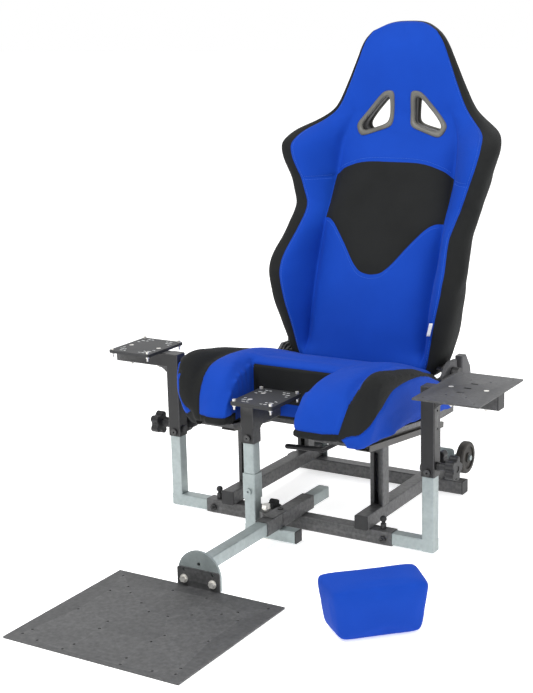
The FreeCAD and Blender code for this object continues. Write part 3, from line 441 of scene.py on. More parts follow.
MATERIALS = {
    "blue_fabric": cloth("blue_fabric", BLUE, BLUE_DARK, 1.3, 0.10, 0.018),
    "black_fabric": cloth("black_fabric", BLACK_CLOTH_LIGHT, BLACK_CLOTH, 1.8, 0.22, 0.015),
    "black_steel": powder_coat("black_steel", (0.008, 0.008, 0.0085, 1), (0.014, 0.014, 0.015, 1), 0.42,
                               worn=0.4),
    "plate_steel": powder_coat("plate_steel", *PLATE_PAINT, worn=0.3),
    "zinc_steel": zinc("zinc_steel", (0.27, 0.31, 0.31, 1), (0.38, 0.43, 0.43, 1), (1, 1, 1)),
    "rail_steel": powder_coat("rail_steel", (0.050, 0.047, 0.043, 1), (0.08, 0.075, 0.068, 1), 0.4),
    "bolt_steel": bright_steel("bolt_steel", (0.92, 0.90, 0.85, 1), 0.30),
    "black_screws": powder_coat("black_screws", (0.018, 0.018, 0.019, 1), (0.035, 0.035, 0.036, 1), 0.35),
    "black_plastic": moulded("black_plastic", (0.014, 0.014, 0.015, 1), (0.026, 0.026, 0.027, 1), 0.48),
    "grey_plastic": moulded("grey_plastic", (0.060, 0.060, 0.064, 1), (0.085, 0.085, 0.090, 1), 0.5),
    "bezel_plastic": moulded("bezel_plastic", (0.105, 0.103, 0.090, 1), (0.15, 0.147, 0.13, 1), 0.42),
    "wheel_rubber": tyre_rubber(),
}
WHITE_THREAD = thread("white_thread", (0.62, 0.63, 0.66, 1), (0.85, 0.86, 0.88, 1))
BLUE_THREAD = thread("blue_thread", (0.02, 0.10, 0.50, 1), (0.05, 0.16, 0.65, 1))


def slotted_plate(node):
    """Painted plate whose punched slots show bare bright metal on their walls."""
    low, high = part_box(node)
    material = powder_coat("plate_" + node, *PLATE_PAINT)
    n = Nodes.of(material)
    place = n.add("SeparateXYZ")
    n.link(n.place, place.inputs[0])
    facing = n.add("SeparateXYZ")
    n.link(n.add("NewGeometry").outputs["Normal"], facing.inputs[0])
    inside = n.math("LESS_THAN", n.math("ABSOLUTE", facing.outputs["Z"]), 0.5)
    for axis in (0, 1):
        middle, half = (low[axis] + high[axis]) / 2, (high[axis] - low[axis]) / 2 - SLOT_MARGIN
        away = n.math("ABSOLUTE", n.math("SUBTRACT", place.outputs[axis], middle))
        inside = n.math("MULTIPLY", inside, n.math("LESS_THAN", away, half))
    blend = n.add("Mix", data_type="RGBA")
    n.link(inside, blend.inputs["Factor"])
    n.link(n.shader.inputs["Base Color"].links[0].from_socket, blend.inputs["A"])
    blend.inputs["B"].default_value = BARE_METAL
    return n.set(Base_Color=blend.outputs["Result"])


def paint_cad_nodes():
    for part in frame["record"]["subparts"]:
        data = NODES[part["node"]].data
        material = MATERIALS[part["material_slot"]]
        if part["node"] in ("side_stick_plate", "stick_plate"):
            material = slotted_plate(part["node"])
        if not data.materials:
            data.materials.append(material)
        for index in range(len(data.materials)):
            data.materials[index] = material


# Backrest: a cover of panels, sewn at the groove beside the centre panel and along the front ridge

RIDGE = smooth_table((
    (318, 174, 343), (336, 180, 338), (352, 186, 334), (400, 196, 330), (440, 205, 325),
    (500, 220, 318), (560, 232, 319), (590, 234, 330), (620, 230, 349), (650, 223, 375),
    (680, 218, 403), (710, 218, 438), (740, 223, 460), (770, 233, 462), (800, 243, 463),
    (830, 256, 458), (860, 267, 455), (890, 273, 461), (920, 263, 502), (950, 220, 555),
    (980, 188, 576), (1040, 159, 583), (1100, 135, 588), (1160, 110, 591), (1190, 86, 600),
))
GROOVE = smooth_table((
    (318, 168, 330), (345, 169, 332), (358, 171, 336), (374, 172, 360), (400, 173, 371),
    (480, 173, 392), (560, 176, 424), (600, 178, 443), (640, 176, 455), (690, 174, 470),
    (740, 174, 502), (780, 174, 526), (800, 172, 538), (850, 172, 556), (890, 170, 566),
    (930, 158, 578), (980, 136, 586), (1040, 114, 585), (1100, 97, 584), (1160, 79, 589),
    (1210, 60, 608),
))
CENTRE_Y = smooth_table((
    (318, 337), (336, 340), (400, 350), (480, 372), (560, 396), (640, 430), (730, 470), (840, 534),
    (880, 552), (928, 574), (975, 586), (1030, 585), (1092, 583), (1150, 588), (1190, 598), (1209, 613),
))
# How far the widest line of the side stands outside the ridge, and how far behind it the side turns in
SIDE = smooth_table((
    (318, 28, 84), (336, 31, 88), (385, 39, 94), (430, 46, 95), (482, 49, 84), (540, 48, 74),
    (598, 47, 62), (648, 46, 68), (700, 48, 60), (748, 46, 54), (797, 42, 66), (840, 41, 54),
    (890, 41, 58), (928, 34, 50), (975, 16, 44), (1025, 12, 40), (1080, 10, 32), (1130, 8, 26),
    (1190, 5, 20),
))
BACK_Y = smooth_table((
    (318, 412), (336, 418), (400, 434), (480, 455), (560, 480), (640, 522), (730, 574), (800, 604),
    (860, 626), (928, 650), (1000, 664), (1100, 668), (1160, 662), (1209, 646),
))
HEAD_ARC = 25.0             # the head's top edge bends down by this much at HEAD_ARC_X
HEAD_ARC_X = 88.0
HEAD_ARC_POWER = 3.2
HEAD_ARC_REACH = 100.0      # and hardly any further beyond this
PANEL_TOP = smooth_table(((0, 850), (30, 850), (60, 849), (90, 845), (125, 834), (150, 822), (168, 803)))
PANEL_POINT = smooth_table((
    (0, 562), (25, 566), (52, 588), (80, 625), (107, 659), (135, 689), (155, 698), (168, 696),
))
GROOVE_X = 168.0
CORNER_Z = 800.0
HEAD_BEND_Z = 1110.0
POINT_Z = 696.0
LEVEL_Z = 895.0
BACKREST_LOW = 320.0
BACKREST_HIGH = 1208.0
PANEL_CROWN = 13.0
BACKREST_PUFF = 9.0
INNER_COLUMNS = 16
WING_COLUMNS = 9
SIDE_COLUMNS = 11
BACK_COLUMNS = INNER_COLUMNS + WING_COLUMNS - SIDE_COLUMNS
# Zones of the cover's height and the rows in each
ZONE_ROWS = (
    (BACKREST_LOW, POINT_Z, 32),
    (POINT_Z, CORNER_Z, 10),
    (CORNER_Z, LEVEL_Z, 9),
    (LEVEL_Z, BACKREST_HIGH, 30),
)
BACK_DISH = 36.0            # the back is hollowed round the harness openings
BACK_DISH_X = 125.0
BACK_DISH_Z = 88.0
HARNESS_CENTRE = (62.0, 968.0)
HARNESS_CORNERS = ((22, 1030), (24, 933), (118, 903), (138, 936), (54, 1030))
HARNESS_ROUNDING = 6.5
HARNESS_ZONE = (880, 1050)  # heights between which the fabric is sewn round an opening
HARNESS_SEWN = 12
FABRIC_TUCK = 5.0           # the fabric runs on this far under a bezel
RIDGE_STEPS = 24


def panel_height(row_z, x):
    """The height that a row of the cover has at x: rows bend to follow the centre panel's seams."""
    x = min(x, GROOVE_X)
    levels = (BACKREST_LOW, POINT_Z, CORNER_Z, LEVEL_Z)
    bent = (BACKREST_LOW, PANEL_POINT(x), PANEL_TOP(x), LEVEL_Z)
    if row_z >= LEVEL_Z:
        return row_z
    zone = max(i for i in range(3) if row_z >= levels[i])
    share = (row_z - levels[zone]) / (levels[zone + 1] - levels[zone])
    return mix(bent[zone], bent[zone + 1], share)


def head_drop(x, row_z):
    """How far a row near the top of the head bends down at x."""
    eased = x / (1.0 + (x / HEAD_ARC_REACH) ** 8) ** 0.125
    return HEAD_ARC * (eased / HEAD_ARC_X) ** HEAD_ARC_POWER * smoothstep(HEAD_BEND_Z, BACKREST_HIGH, row_z)


def ridge_of_row(row_z):
    """Half width and depth of the ridge where a row reaches it, and the height there."""
    half_width = RIDGE(row_z)[0]
    for _ in range(RIDGE_STEPS):
        z = row_z - head_drop(half_width, row_z)
        half_width = mix(half_width, RIDGE(z)[0], 0.5)
    return half_width, RIDGE(z)[1], z


def front_y(x, z, row_z):
    """Depth of the front between the grooves: a crowned panel that drops into the groove."""
    depth_z = z if row_z < LEVEL_Z else row_z
    middle = CENTRE_Y(depth_z)
    groove_y = GROOVE(depth_z)[1]
    t = min(x / GROOVE(row_z)[0], 1.0)
    crown = PANEL_CROWN * smoothstep(LEVEL_Z, CORNER_Z - 30, row_z) * (1 - t ** 7)
    return mix(middle, groove_y, 0.35 * t ** 2 + 0.65 * t ** 8) - crown


def backrest_row(row_z):
    """Half of one row of the cover, from the front centre round the side to the back centre."""
    ridge_x, ridge_y, ridge_z = ridge_of_row(row_z)
    groove_x, groove_y = GROOVE(row_z)
    row = []
    for i in range(INNER_COLUMNS + 1):
        t = i / INNER_COLUMNS
        x = groove_x * t
        z = panel_height(row_z, GROOVE_X * t)
        row.append(Vector((x, front_y(x, z, row_z), z - head_drop(x, row_z))))
    for i in range(1, WING_COLUMNS + 1):
        share = i / WING_COLUMNS
        x = mix(groove_x, ridge_x, share)
        y = mix(groove_y, ridge_y, math.sin(share * math.pi / 2) ** 0.85)
        row.append(Vector((x, y, row_z - head_drop(x, row_z))))
    out, turn = SIDE(ridge_z)
    side_x = ridge_x + out
    back_y = BACK_Y(row_z)
    corners = [(ridge_x, ridge_y), (ridge_x + 0.8 * out, ridge_y + 0.06 * turn),
               (side_x, ridge_y + 0.32 * turn), (side_x, ridge_y + 0.7 * turn), (0.98 * side_x, ridge_y + turn),
               (0.76 * side_x, back_y - 14), (0.4 * side_x, back_y - 2), (0, back_y)]
    lengths = [0.0]
    for a, b in zip(corners, corners[1:]):
        lengths.append(lengths[-1] + math.dist(a, b))
    outline = smooth_table([(length, x, y) for length, (x, y) in zip(lengths, corners)])
    for i in range(1, SIDE_COLUMNS + BACK_COLUMNS + 1):
        x, y = outline(lengths[-1] * i / (SIDE_COLUMNS + BACK_COLUMNS))
        if i > SIDE_COLUMNS:
            away = (x / BACK_DISH_X) ** 2 + ((row_z - HARNESS_CENTRE[1]) / BACK_DISH_Z) ** 2
            y -= BACK_DISH * math.exp(-away ** 2)
        row.append(Vector((x, y, row_z - head_drop(x, row_z))))
    return row


def backrest_rows():
    heights = [ZONE_ROWS[0][0]]
    for low, high, count in ZONE_ROWS:
        heights += [mix(low, high, (i + 1) / count) for i in range(count)]
    return heights


def backrest_cover():
    """The closed cover as a bmesh. Layer "panel" of a face is 0 for blue and 1 for black, and layer
    "seam" of a vertex is 1 on a seam."""
    mesh = bmesh.new()
    panel = mesh.faces.layers.int.new("panel")
    seam = mesh.verts.layers.float.new("seam")
    heights = backrest_rows()
    groove = INNER_COLUMNS
    ridge = groove + WING_COLUMNS
    last = ridge + SIDE_COLUMNS + BACK_COLUMNS
    point_row = ZONE_ROWS[0][2]
    corner_row = point_row + ZONE_ROWS[1][2]
    grids = []
    for sign in (1, -1):
        grid = []
        for r, row_z in enumerate(heights):
            verts = []
            for c, place in enumerate(backrest_row(row_z)):
                if sign < 0 and c in (0, last):
                    verts.append(grids[0][r][c])
                    continue
                vertex = mesh.verts.new((place.x * sign, place.y, place.z))
                sewn = c == ridge or (c == groove and r <= corner_row)
                sewn = sewn or (c <= groove and r in (point_row, corner_row))
                sewn = sewn or (groove < c < ridge and r == corner_row)
                vertex[seam] = float(sewn)
                verts.append(vertex)
            grid.append(verts)
        grids.append(grid)
        for r in range(len(heights) - 1):
            for c in range(last):
                corners = [grid[r][c], grid[r][c + 1], grid[r + 1][c + 1], grid[r + 1][c]]
                face = mesh.faces.new(corners if sign > 0 else corners[::-1])
                inside_panel = c < groove and point_row <= r < corner_row
                face[panel] = int(inside_panel or c >= ridge)
        for r in (0, len(heights) - 1):
            for c in range(ridge):
                corners = [grid[r][c], grid[r][c + 1], grid[r][last - c - 1], grid[r][last - c]]
                face = mesh.faces.new(list(dict.fromkeys(corners)))
                face[panel] = 1
    bmesh.ops.recalc_face_normals(mesh, faces=mesh.faces)
    return mesh


def harness_distance(point):
    """Distance from the edge of a harness opening, seen from the front, negative inside."""
    x, z = abs(point.x), point.z
    total = 0.0
    for (x0, z0), (x1, z1) in zip(HARNESS_CORNERS, HARNESS_CORNERS[1:] + HARNESS_CORNERS[:1]):
        length = math.hypot(x1 - x0, z1 - z0)
        away = ((x - x0) * (z0 - z1) + (z - z0) * (x1 - x0)) / length
        total += math.exp(min(-away / HARNESS_ROUNDING, 60.0))
    return HARNESS_ROUNDING * math.log(total) + 1.0


def fabric_edge(point):
    """Zero where the fabric ends, under a harness bezel."""
    return harness_distance(point) + FABRIC_TUCK


def split_by_panel(mesh, name, body):
    """Makes a blue piece of the faces in panel 0 and a black one of those in panel 1."""
    pieces = []
    for value, colour in enumerate(("blue", "black")):
        part = mesh.copy()
        layer = part.faces.layers.int["panel"]
        bmesh.ops.delete(part, geom=[f for f in part.faces if f[layer] != value], context="FACES")
        slot = colour + "_fabric"
        pieces.append(new_piece(name + "_" + colour, part, body, MATERIALS[slot]))
    mesh.free()
    return pieces


def backrest():
    """Makes the two cover pieces and returns the blue one's surface."""
    mesh = backrest_cover()
    seam = mesh.verts.layers.float["seam"]
    sewn = {tuple(round(c, 3) for c in v.co) for v in mesh.verts if v[seam] > 0.5}

    def hold(point):
        if tuple(round(c, 3) for c in point) in sewn:
            return 1.0
        near_opening = harness_distance(point) < HARNESS_SEWN and HARNESS_ZONE[0] < point.z < HARNESS_ZONE[1]
        return 1.0 if near_opening else 0.0

    mesh = subdivided(inflate(mesh, hold, BACKREST_PUFF))
    seam = mesh.verts.layers.float["seam"]
    mesh.normal_update()
    moves = [v.normal * -SEAM_DEPTH * v[seam] ** 3 for v in mesh.verts]
    for vertex, move in zip(mesh.verts, moves):
        vertex.co += move
    mesh = subdivided(mesh)
    cut_along(mesh, fabric_edge)
    inside = [f for f in mesh.faces if fabric_edge(f.calc_center_median()) < 0]
    bmesh.ops.delete(mesh, geom=inside, context="FACES")
    blue, black = split_by_panel(mesh, "backrest_cover", "backrest")
    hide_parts("backrest_pad")
    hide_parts("backrest_shell")
    return surface_of(blue)


# Harness openings, tag and topstitching

# Sections of a bezel ring and of the tunnel behind it: distance outside the opening, height off the fabric
RING_SECTION = (
    (-11.5, -3.0), (-12.0, 1.0), (-10.5, 3.6), (-7.5, 4.8),
    (-3.5, 4.4), (-0.5, 2.6), (0.6, -0.5), (0.0, -4.0),
)
TUNNEL_SECTION = (("front", -11.0, 0.0), ("back", -8.0, 0.0), ("back", -5.0, 0.0), ("front", -7.0, 0.0))
BEZEL_POINTS = 96
OPENING_REACH = 140.0
OPENING_HALVINGS = 30


def opening_outline(offset):
    """Points at a distance outside the edge of the right opening."""
    points = []
    for i in range(BEZEL_POINTS):
        angle = math.tau * i / BEZEL_POINTS
        near, far = 0.0, OPENING_REACH
        for _ in range(OPENING_HALVINGS):
            reach = (near + far) / 2
            x = HARNESS_CENTRE[0] + reach * math.cos(angle)
            place = Vector((x, 0, HARNESS_CENTRE[1] + reach * math.sin(angle)))
            if harness_distance(place) < offset:
                near = reach
            else:
                far = reach
        points.append(place)
    return points


def ring_of(mesh, section, outlines, sign):
    """Adds one closed ring round an opening; a section row is side, distance outside, height."""
    loops = []
    for side, offset, height in section:
        loop = []
        for place in outlines[offset]:
            if side == "back":
                y = back_surface_y(place.x, place.z) + height
            else:
                y = front_y(place.x, place.z, place.z) - height
            loop.append(mesh.verts.new((sign * place.x, y, place.z)))
        loops.append(loop)
    for loop, following in zip(loops, loops[1:] + loops[:1]):
        for i in range(BEZEL_POINTS):
            k = (i + 1) % BEZEL_POINTS
            mesh.faces.new((loop[i], loop[k], following[k], following[i]))


def harness_bezels():
    """A raised ring round each opening, front and back, and the tunnel between them, whose walls get the darker
    black plastic as painted shade.
    """
    offsets = {row[0] for row in RING_SECTION} | {row[1] for row in TUNNEL_SECTION}
    outlines = {offset: opening_outline(offset) for offset in offsets}
    rings, tunnels = bmesh.new(), bmesh.new()
    for sign in (1, -1):
        for side in ("front", "back"):
            ring_of(rings, [(side, offset, height) for offset, height in RING_SECTION], outlines, sign)
        ring_of(tunnels, TUNNEL_SECTION, outlines, sign)
    for mesh in (rings, tunnels):
        bmesh.ops.recalc_face_normals(mesh, faces=mesh.faces)
    piece = new_piece("harness_bezel_rings", rings, "backrest", MATERIALS["bezel_plastic"])
    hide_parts("harness_bezels")
    # Painted shade: the tunnel walls are the bezel's plastic, given black plastic here to darken them as if in
    # shadow.
    new_piece("harness_tunnels", tunnels, "backrest", MATERIALS["black_plastic"])


def back_surface_y(x, z):
    """Depth of the back of the cover, between the columns of a row."""
    row = backrest_row(z)[-BACK_COLUMNS:]
    for outer, inner in zip(row, row[1:]):
        if inner.x <= x <= outer.x:
            return mix(inner.y, outer.y, (x - inner.x) / max(outer.x - inner.x, 0.01))
    return row[-1].y


TAG_Z = 452.0
TAG_SLOPE = 0.24            # the tag leans out with the ridge
TAG_INSET = 4.5
TAG_WIDTH = 8.5
TAG_THICK = 1.2
TAG_HEIGHT = 34
TAG_CURL = 2.5


def side_tag():
    """A small plain woven tag sewn into the seam beside the hip."""
    mesh = bmesh.new()
    bmesh.ops.create_cube(mesh, size=1.0)
    bmesh.ops.subdivide_edges(mesh, edges=mesh.edges, cuts=5, use_grid_fill=True)
    ridge_x, ridge_y = RIDGE(TAG_Z)
    for vertex in mesh.verts:
        u, v, w = vertex.co
        curl = TAG_CURL * (u + 0.5) ** 2
        y = ridge_y - TAG_INSET + TAG_THICK * v + curl
        vertex.co = (ridge_x - TAG_INSET + TAG_WIDTH * u, y, TAG_Z + TAG_HEIGHT * w)
        vertex.co.x += (vertex.co.z - TAG_Z) * TAG_SLOPE
    new_piece("side_tag", mesh, "backrest", WHITE_THREAD)


STITCH_STEP = 4.6
STITCH_LENGTH = 3.3
STITCH_RADIUS = 0.45
STITCH_SIDES = 6
DOUBLE_STITCH = 4           # distance of a stitched line from its seam
PANEL_STITCH = 9
# Places along one stitch as shares of its length, and its radius there as a share of the full one
STITCH_PROFILE = ((-0.5, 0.5), (-0.3, 1.0), (0.3, 1.0), (0.5, 0.5))


def stitched_line(mesh, surface, line):
    """Adds short thread stitches to a bmesh along a line laid on a surface."""
    travelled, wanted = 0.0, STITCH_STEP / 2
    for a, b in zip(line, line[1:]):
        length = (b - a).length
        while wanted < travelled + length:
            place, outward = surface.find_nearest(a.lerp(b, (wanted - travelled) / length))[:2]
            along = (b - a).normalized()
            aside = along.cross(outward).normalized()
            rings = []
            for share, size in STITCH_PROFILE:
                ring = []
                for i in range(STITCH_SIDES):
                    angle = math.tau * i / STITCH_SIDES
                    spread = aside * math.cos(angle) + outward * (math.sin(angle) + 0.5 * size)
                    middle = place + along * share * STITCH_LENGTH
                    ring.append(mesh.verts.new(middle + spread * STITCH_RADIUS * size))
                rings.append(ring)
            for ring, following in zip(rings, rings[1:]):
                for i in range(STITCH_SIDES):
                    mesh.faces.new((ring[i], ring[i - 1], following[i - 1], following[i]))
            mesh.faces.new(rings[0])
            mesh.faces.new(rings[-1][::-1])
            wanted += STITCH_STEP
        travelled += length


def backrest_topstitch(surface):
    """Stitches beside the seams: double across the wings, single round the panel and along the ridge."""
    mesh = bmesh.new()
    groove, ridge = INNER_COLUMNS, INNER_COLUMNS + WING_COLUMNS
    lines = []
    for row_z in (CORNER_Z - DOUBLE_STITCH, CORNER_Z + DOUBLE_STITCH):
        lines.append(backrest_row(row_z)[groove + 1:ridge])
    for row_z in (CORNER_Z + PANEL_STITCH, POINT_Z - PANEL_STITCH):
        lines.append(backrest_row(row_z)[:groove])
    rows = [backrest_row(row_z) for row_z in backrest_rows() if row_z < HEAD_BEND_Z]
    lines.append([row[ridge].lerp(row[ridge - 1], 0.5) for row in rows])
    for sign in (1, -1):
        for line in lines:
            stitched_line(mesh, surface, [Vector((sign * p.x, p.y, p.z)) for p in line])
    bmesh.ops.recalc_face_normals(mesh, faces=mesh.faces)
    new_piece("backrest_topstitch", mesh, "backrest", BLUE_THREAD)


# Seat cushion

SEAT_EDGE_X = 276.0
SEAT_FRONT_Y = -162
REAR_Y = 304.0
RECESS_Y = 26.0
RECESS_TOP_Z = 394.0
RECESS_HEM_Z = 301.0
BOLSTER_HEM_Z = 304.0
CUSHION_CELL = 6.0
CUSHION_PUFF = 7.0
PAN_Y = 67.5                # the pan slopes down to the rear through this place
PAN_Z = 257.5
PAN_TILT = math.radians(7.0)
PAN_HALF_WIDTH = 185
PAN_RIM = 9
SEWN_MARGIN = 5
BAND_FLARE = 16.0           # the right band moves out this far towards the rear
# Heights along y of the leg bolsters, of the humps outside them, and of the seam under the black bands
LEG_TOP = smooth_table((
    (-160, 300), (-153, 325), (-147, 343), (-137, 360), (-120, 378), (-104, 390), (-71, 404), (-32, 410),
    (0, 411), (40, 409), (100, 402), (170, 386), (250, 362), (296, 346),
))
HUMP_TOP = smooth_table((
    (-160, 300), (-152, 340), (-142, 384), (-130, 411), (-112, 428), (-63, 436), (14, 425), (58, 418),
    (121, 402), (166, 387), (217, 362), (296, 330),
))
SIDE_SEAM_RIGHT = smooth_table((
    (-152, 274), (-145, 296), (-125, 323), (-110, 345), (-82, 361), (-56, 377), (-20, 390), (32, 393),
    (96, 390), (170, 374), (296, 322),
))
SIDE_SEAM_LEFT = smooth_table((
    (-152, 276), (-142, 296), (-135, 330), (-132, 365), (-127, 392), (-114, 413), (-95, 414), (-56, 404),
    (32, 398), (96, 390), (170, 370), (296, 322),
))
BAND_RIGHT = smooth_table(((270, 186), (306, 194), (340, 202), (370, 208), (395, 217), (408, 232)))
BAND_LEFT = smooth_table(((270, 180), (306, 186), (335, 191), (375, 195), (392, 198), (410, 202)))
FRONT_Y = smooth_table((
    (0, -162), (150, -162), (190, -150), (228, -152), (252, -149), (268, -136), (278, -112),
))
PANEL_HEM = smooth_table(((-160, 265), (-144, 267), (-100, 274), (40, 284), (160, 274), (296, 262)))
# The outer front corner draws in towards its hem
CORNER_DRAW = smooth_table(((262, 30), (290, 20), (312, 12), (347, 3), (380, 0)))


def pan_height(y):
    return PAN_Z - (y - PAN_Y) * math.tan(PAN_TILT)


def cushion_bottom(x, y):
    return mix(pan_height(y), PANEL_HEM(y), smoothstep(212, 222, abs(x)))


def recess_half_width(x, y):
    """Half width of the front recess: the side beside the stick plate starts further out."""
    share = smoothstep(-150, 30, y)
    return mix(79, 88, share) if x > 0 else mix(109, 136, share)


def front_edge(x):
    """How far forward the cushion reaches at x."""
    return FRONT_Y(abs(x))


def cushion_top(x, y):
    """Height of the cover: leg bolsters inside, humps outside and a valley between them."""
    side = abs(x)
    along = y - (front_edge(x) + 160.0) * smoothstep(-60, -140, y)
    leg = LEG_TOP(along)
    hump = HUMP_TOP(along)
    leg += 10.0 * smoothstep(110, 192, side) * smoothstep(-150, -115, y)
    inner = recess_half_width(x, y)
    if y < RECESS_Y and side > inner:
        leg -= 5.0 * (1 - min((side - inner) / 22.0, 1.0)) ** 2
    if y < RECESS_Y + 30 and side <= inner + 26:
        behind = min(max((y - RECESS_Y) / 30.0, 0.0), 1.0)
        leg -= 16.0 * (1 - behind) ** 2 * smoothstep(inner + 26, inner, side)
    height = mix(leg, hump, smoothstep(206, 246, side))
    valley = math.exp(-((side - 209) / 11.0) ** 2)
    height -= mix(14.0, 3.0, smoothstep(0, 140, y)) * valley * smoothstep(-150, -110, y)
    height -= 10.0 * smoothstep(250, 270, side) ** 2
    return height


def cushion_solid():
    """A closed, rough body of the cushion: a sheet of columns over the plan."""
    mesh = bmesh.new()
    columns = int(2 * SEAT_EDGE_X / CUSHION_CELL)
    xs = [mix(-SEAT_EDGE_X, SEAT_EDGE_X, i / columns) for i in range(columns + 1)]
    rows = int((REAR_Y - SEAT_FRONT_Y) / CUSHION_CELL)
    ys = [mix(SEAT_FRONT_Y, REAR_Y, i / rows) for i in range(rows + 1)]

    def filled(x, y):
        recessed = abs(x) < recess_half_width(x, y) and y < RECESS_Y
        return y > front_edge(x) and not recessed

    cells = {(i, j) for i in range(columns) for j in range(rows)
             if filled((xs[i] + xs[i + 1]) / 2, (ys[j] + ys[j + 1]) / 2)}
    top, bottom = {}, {}

    def vertex(store, i, j, z):
        if (i, j) not in store:
            store[i, j] = mesh.verts.new((xs[i], ys[j], z))
        return store[i, j]

    for i, j in sorted(cells):
        ring = ((i, j), (i + 1, j), (i + 1, j + 1), (i, j + 1))
        upper = [vertex(top, a, b, cushion_top(xs[a], ys[b])) for a, b in ring]
        lower = [vertex(bottom, a, b, cushion_bottom(xs[a], ys[b])) for a, b in ring]
        mesh.faces.new(upper)
        mesh.faces.new(lower[::-1])
        for k, (di, dj) in enumerate(((0, -1), (1, 0), (0, 1), (-1, 0))):
            if (i + di, j + dj) not in cells:
                n = (k + 1) % 4
                mesh.faces.new((upper[n], upper[k], lower[k], lower[n]))
    return mesh


def band_edge(point):
    """Positive in the black band beside the leg bolster, negative on the blue."""
    if point.x < 0:
        return -point.x - BAND_LEFT(point.z)
    return point.x - BAND_RIGHT(point.z) - BAND_FLARE * smoothstep(-60, 40, point.y)


def side_seam(point):
    """Positive on the black band, negative on the outer panel under it. The band always covers the
    part within a half width that grows from the front to widest_y."""
    if point.x < 0:
        seam_z, widest, widest_y = SIDE_SEAM_LEFT(point.y), 268, -115
    else:
        seam_z, widest, widest_y = SIDE_SEAM_RIGHT(point.y), 240, -95
    within = mix(200, widest, smoothstep(-150, widest_y, point.y)) - abs(point.x)
    return max(point.z - seam_z, within)


def bolster_hem(point):
    return point.z - BOLSTER_HEM_Z


def recess_top(point):
    return point.z - RECESS_TOP_Z


def recess_hem(point):
    return point.z - RECESS_HEM_Z


def in_recess_wall(point):
    inner = recess_half_width(point.x, point.y)
    return abs(point.x) < inner - 1 and RECESS_Y - 9 < point.y < RECESS_Y + 14


def cushion_is_black(point):
    if abs(point.x) < PAN_HALF_WIDTH and point.z < pan_height(point.y) + PAN_RIM:
        return True
    if band_edge(point) > 0:
        return side_seam(point) > 0
    if in_recess_wall(point):
        return recess_hem(point) > 0 > recess_top(point)
    return point.y < -100 and bolster_hem(point) < 0


def cushion_seams(point):
    """The least distance from any seam that runs past this point."""
    near = []
    if side_seam(point) > 0 or abs(point.x) < 215:
        near.append(abs(band_edge(point)))
    if band_edge(point) > 0:
        near.append(abs(side_seam(point)))
    elif in_recess_wall(point):
        near += [abs(recess_top(point)), abs(recess_hem(point))]
    elif point.y < -100:
        near.append(abs(bolster_hem(point)))
    return min(near) if near else 99.0


def draw_in_corners(mesh):
    """Draws the outer front corners in, the left one further."""
    for vertex in mesh.verts:
        x, y, z = vertex.co
        share = smoothstep(192, 245, abs(x)) * smoothstep(-20, -110, y)
        draw = CORNER_DRAW(z) * share * (1.5 if x < 0 else 1.0)
        vertex.co.x -= math.copysign(0.85 * draw, x)
        vertex.co.y += 0.52 * draw


def seat_cushion():
    mesh = remeshed(cushion_solid(), CUSHION_CELL, 6)
    draw_in_corners(mesh)

    def hold(point):
        return 1.0 if cushion_seams(point) < SEWN_MARGIN or point.z < pan_height(point.y) + 8 else 0.0

    mesh = subdivided(inflate(mesh, hold, CUSHION_PUFF))
    for curve in (band_edge, side_seam, bolster_hem, recess_top, recess_hem):
        cut_along(mesh, curve)
    press_seams(mesh, (cushion_seams,))
    panel = mesh.faces.layers.int.new("panel")
    for face in mesh.faces:
        face[panel] = int(cushion_is_black(face.calc_center_median()))
    blue, black = split_by_panel(mesh, "cushion_cover", "seat")
    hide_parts("cushion_rear", "cushion_bolster_left", "cushion_bolster_right")


# Loose insert cushion

INSERT_TURN = 45.0
INSERT_PLACE = (433.0, -439.0)
INSERT_FRONT = 212.0
INSERT_REAR = 230.0
INSERT_DEPTH = 118.0
INSERT_HEIGHT = 117.0
INSERT_FOOT = 0.85
INSERT_SHRINK = 1.0
INSERT_CELLS = 16
INSERT_SMOOTHING = 11
INSERT_PUFF = 5.0
INSERT_PRESSURE = 3.0
INSERT_SAG = 3.0            # the underside is pressed flat this deep
INSERT_CLEARANCE = 0.6


def insert_cushion():
    """A trapezium block with soft edges that swells between its corners."""
    mesh = bmesh.new()
    bmesh.ops.create_cube(mesh, size=2.0)
    bmesh.ops.subdivide_edges(mesh, edges=mesh.edges, cuts=INSERT_CELLS, use_grid_fill=True)
    for vertex in mesh.verts:
        u, v, w = vertex.co
        scale = mix(INSERT_FOOT, 1.0, (w + 1) / 2)
        half_width = mix(INSERT_FRONT, INSERT_REAR, (v + 1) / 2) / 2 * scale - INSERT_SHRINK
        half_depth = INSERT_DEPTH / 2 * scale - INSERT_SHRINK
        height = mix(INSERT_SHRINK, INSERT_HEIGHT - INSERT_SHRINK, (w + 1) / 2)
        vertex.co = (u * half_width, v * half_depth, height)
    for _ in range(INSERT_SMOOTHING):
        bmesh.ops.smooth_vert(mesh, verts=mesh.verts, factor=0.5,
                              use_axis_x=True, use_axis_y=True, use_axis_z=True)
    mesh = inflate(mesh, lambda point: 0.0, INSERT_PUFF, INSERT_PRESSURE)
    lowest = min(vertex.co.z for vertex in mesh.verts)
    for vertex in mesh.verts:
        vertex.co.z = max(vertex.co.z - lowest - INSERT_SAG, INSERT_CLEARANCE)
    mesh = subdivided(mesh)
    turn = Matrix.Rotation(math.radians(INSERT_TURN), 3, "Z")
    bmesh.ops.rotate(mesh, cent=(0, 0, 0), matrix=turn, verts=mesh.verts)
    bmesh.ops.translate(mesh, vec=(INSERT_PLACE[0], INSERT_PLACE[1], 0), verts=mesh.verts)
    piece = new_piece("insert_cover", mesh, "insert_cushion", MATERIALS["blue_fabric"])
    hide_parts("insert_cushion")


# Studio and camera

# The world is darker in front, from here at Y -0.3 up to white at Y 0.5
WORLD_FRONT = 0.40
FLOOR_SIZE = 30.0
FLOOR_DROP = 0.0008
FLOOR_GLOW = 0.62
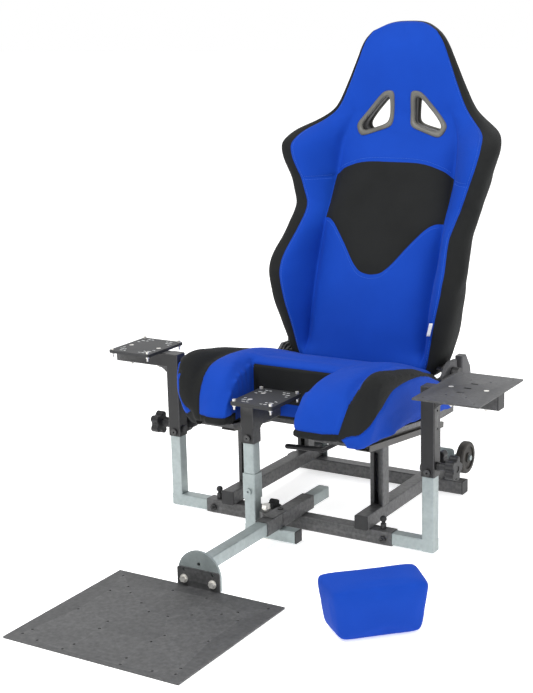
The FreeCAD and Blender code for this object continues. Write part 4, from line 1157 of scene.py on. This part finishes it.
# Name, place, size in metres and power in watts
LAMPS = (
    ("key", (-0.7, -2.0, 3.6), 1.6, 105.0),
    ("side", (3.0, -1.2, 2.2), 1.4, 28.0),
    ("back", (-0.5, 2.8, 2.6), 2.0, 16.0),
)
LAMP_TARGET = (0, 0.1, 0.6)
CAMERA_PLACE = (1.67868, -2.85982, 1.26146)
CAMERA_TARGET = (-0.1946, 0.1825, 0.3975)
CAMERA_ROLL = -1.42
CAMERA_LENS = 73.8
CAMERA_SENSOR = 36.0


def studio_floor():
    mesh = bmesh.new()
    bmesh.ops.create_grid(mesh, x_segments=1, y_segments=1, size=FLOOR_SIZE)
    data = bpy.data.meshes.new("floor")
    mesh.to_mesh(data)
    mesh.free()
    floor = bpy.data.objects.new("floor", data)
    floor.location.z = -FLOOR_DROP
    bpy.context.scene.collection.objects.link(floor)
    n = Nodes("studio_floor")
    data.materials.append(n.set(Base_Color=(0.93, 0.93, 0.93, 1), Roughness=0.9, Specular_IOR_Level=0.0,
                                Emission_Color=(1, 1, 1, 1), Emission_Strength=FLOOR_GLOW))


def studio_world():
    world = bpy.data.worlds.new("studio")
    world.use_nodes = True
    tree = world.node_tree
    parts = tree.nodes.new("ShaderNodeSeparateXYZ")
    tree.links.new(tree.nodes.new("ShaderNodeTexCoord").outputs["Generated"], parts.inputs[0])
    ramp = tree.nodes.new("ShaderNodeMapRange")
    ramp.inputs["From Min"].default_value = -0.3
    ramp.inputs["From Max"].default_value = 0.5
    ramp.inputs["To Min"].default_value = WORLD_FRONT
    tree.links.new(parts.outputs["Y"], ramp.inputs["Value"])
    background = tree.nodes["Background"]
    tree.links.new(ramp.outputs[0], background.inputs["Color"])
    background.inputs["Strength"].default_value = 1.0
    bpy.context.scene.world = world


def lamps():
    for name, place, size, power in LAMPS:
        light = bpy.data.lights.new(name, "AREA")
        light.size = size
        light.energy = power
        lamp = bpy.data.objects.new(name, light)
        lamp.location = place
        aim = Vector(LAMP_TARGET) - Vector(place)
        lamp.rotation_euler = aim.to_track_quat("-Z", "Y").to_euler()
        bpy.context.scene.collection.objects.link(lamp)


def camera():
    data = bpy.data.cameras.new("camera")
    data.lens = CAMERA_LENS
    data.sensor_width = CAMERA_SENSOR
    place = Vector(CAMERA_PLACE)
    turn = (Vector(CAMERA_TARGET) - place).to_track_quat("-Z", "Y").to_matrix()
    roll = Matrix.Rotation(math.radians(CAMERA_ROLL), 3, "Z")
    shot = bpy.data.objects.new("camera", data)
    shot.matrix_world = Matrix.Translation(place) @ (turn @ roll).to_4x4()
    bpy.context.scene.collection.objects.link(shot)
    bpy.context.scene.camera = shot


paint_cad_nodes()
backrest_surface = backrest()
harness_bezels()
backrest_topstitch(backrest_surface)
side_tag()
seat_cushion()
insert_cushion()
studio_floor()
studio_world()
lamps()
bpy.context.scene.view_settings.view_transform = "Standard"
camera()
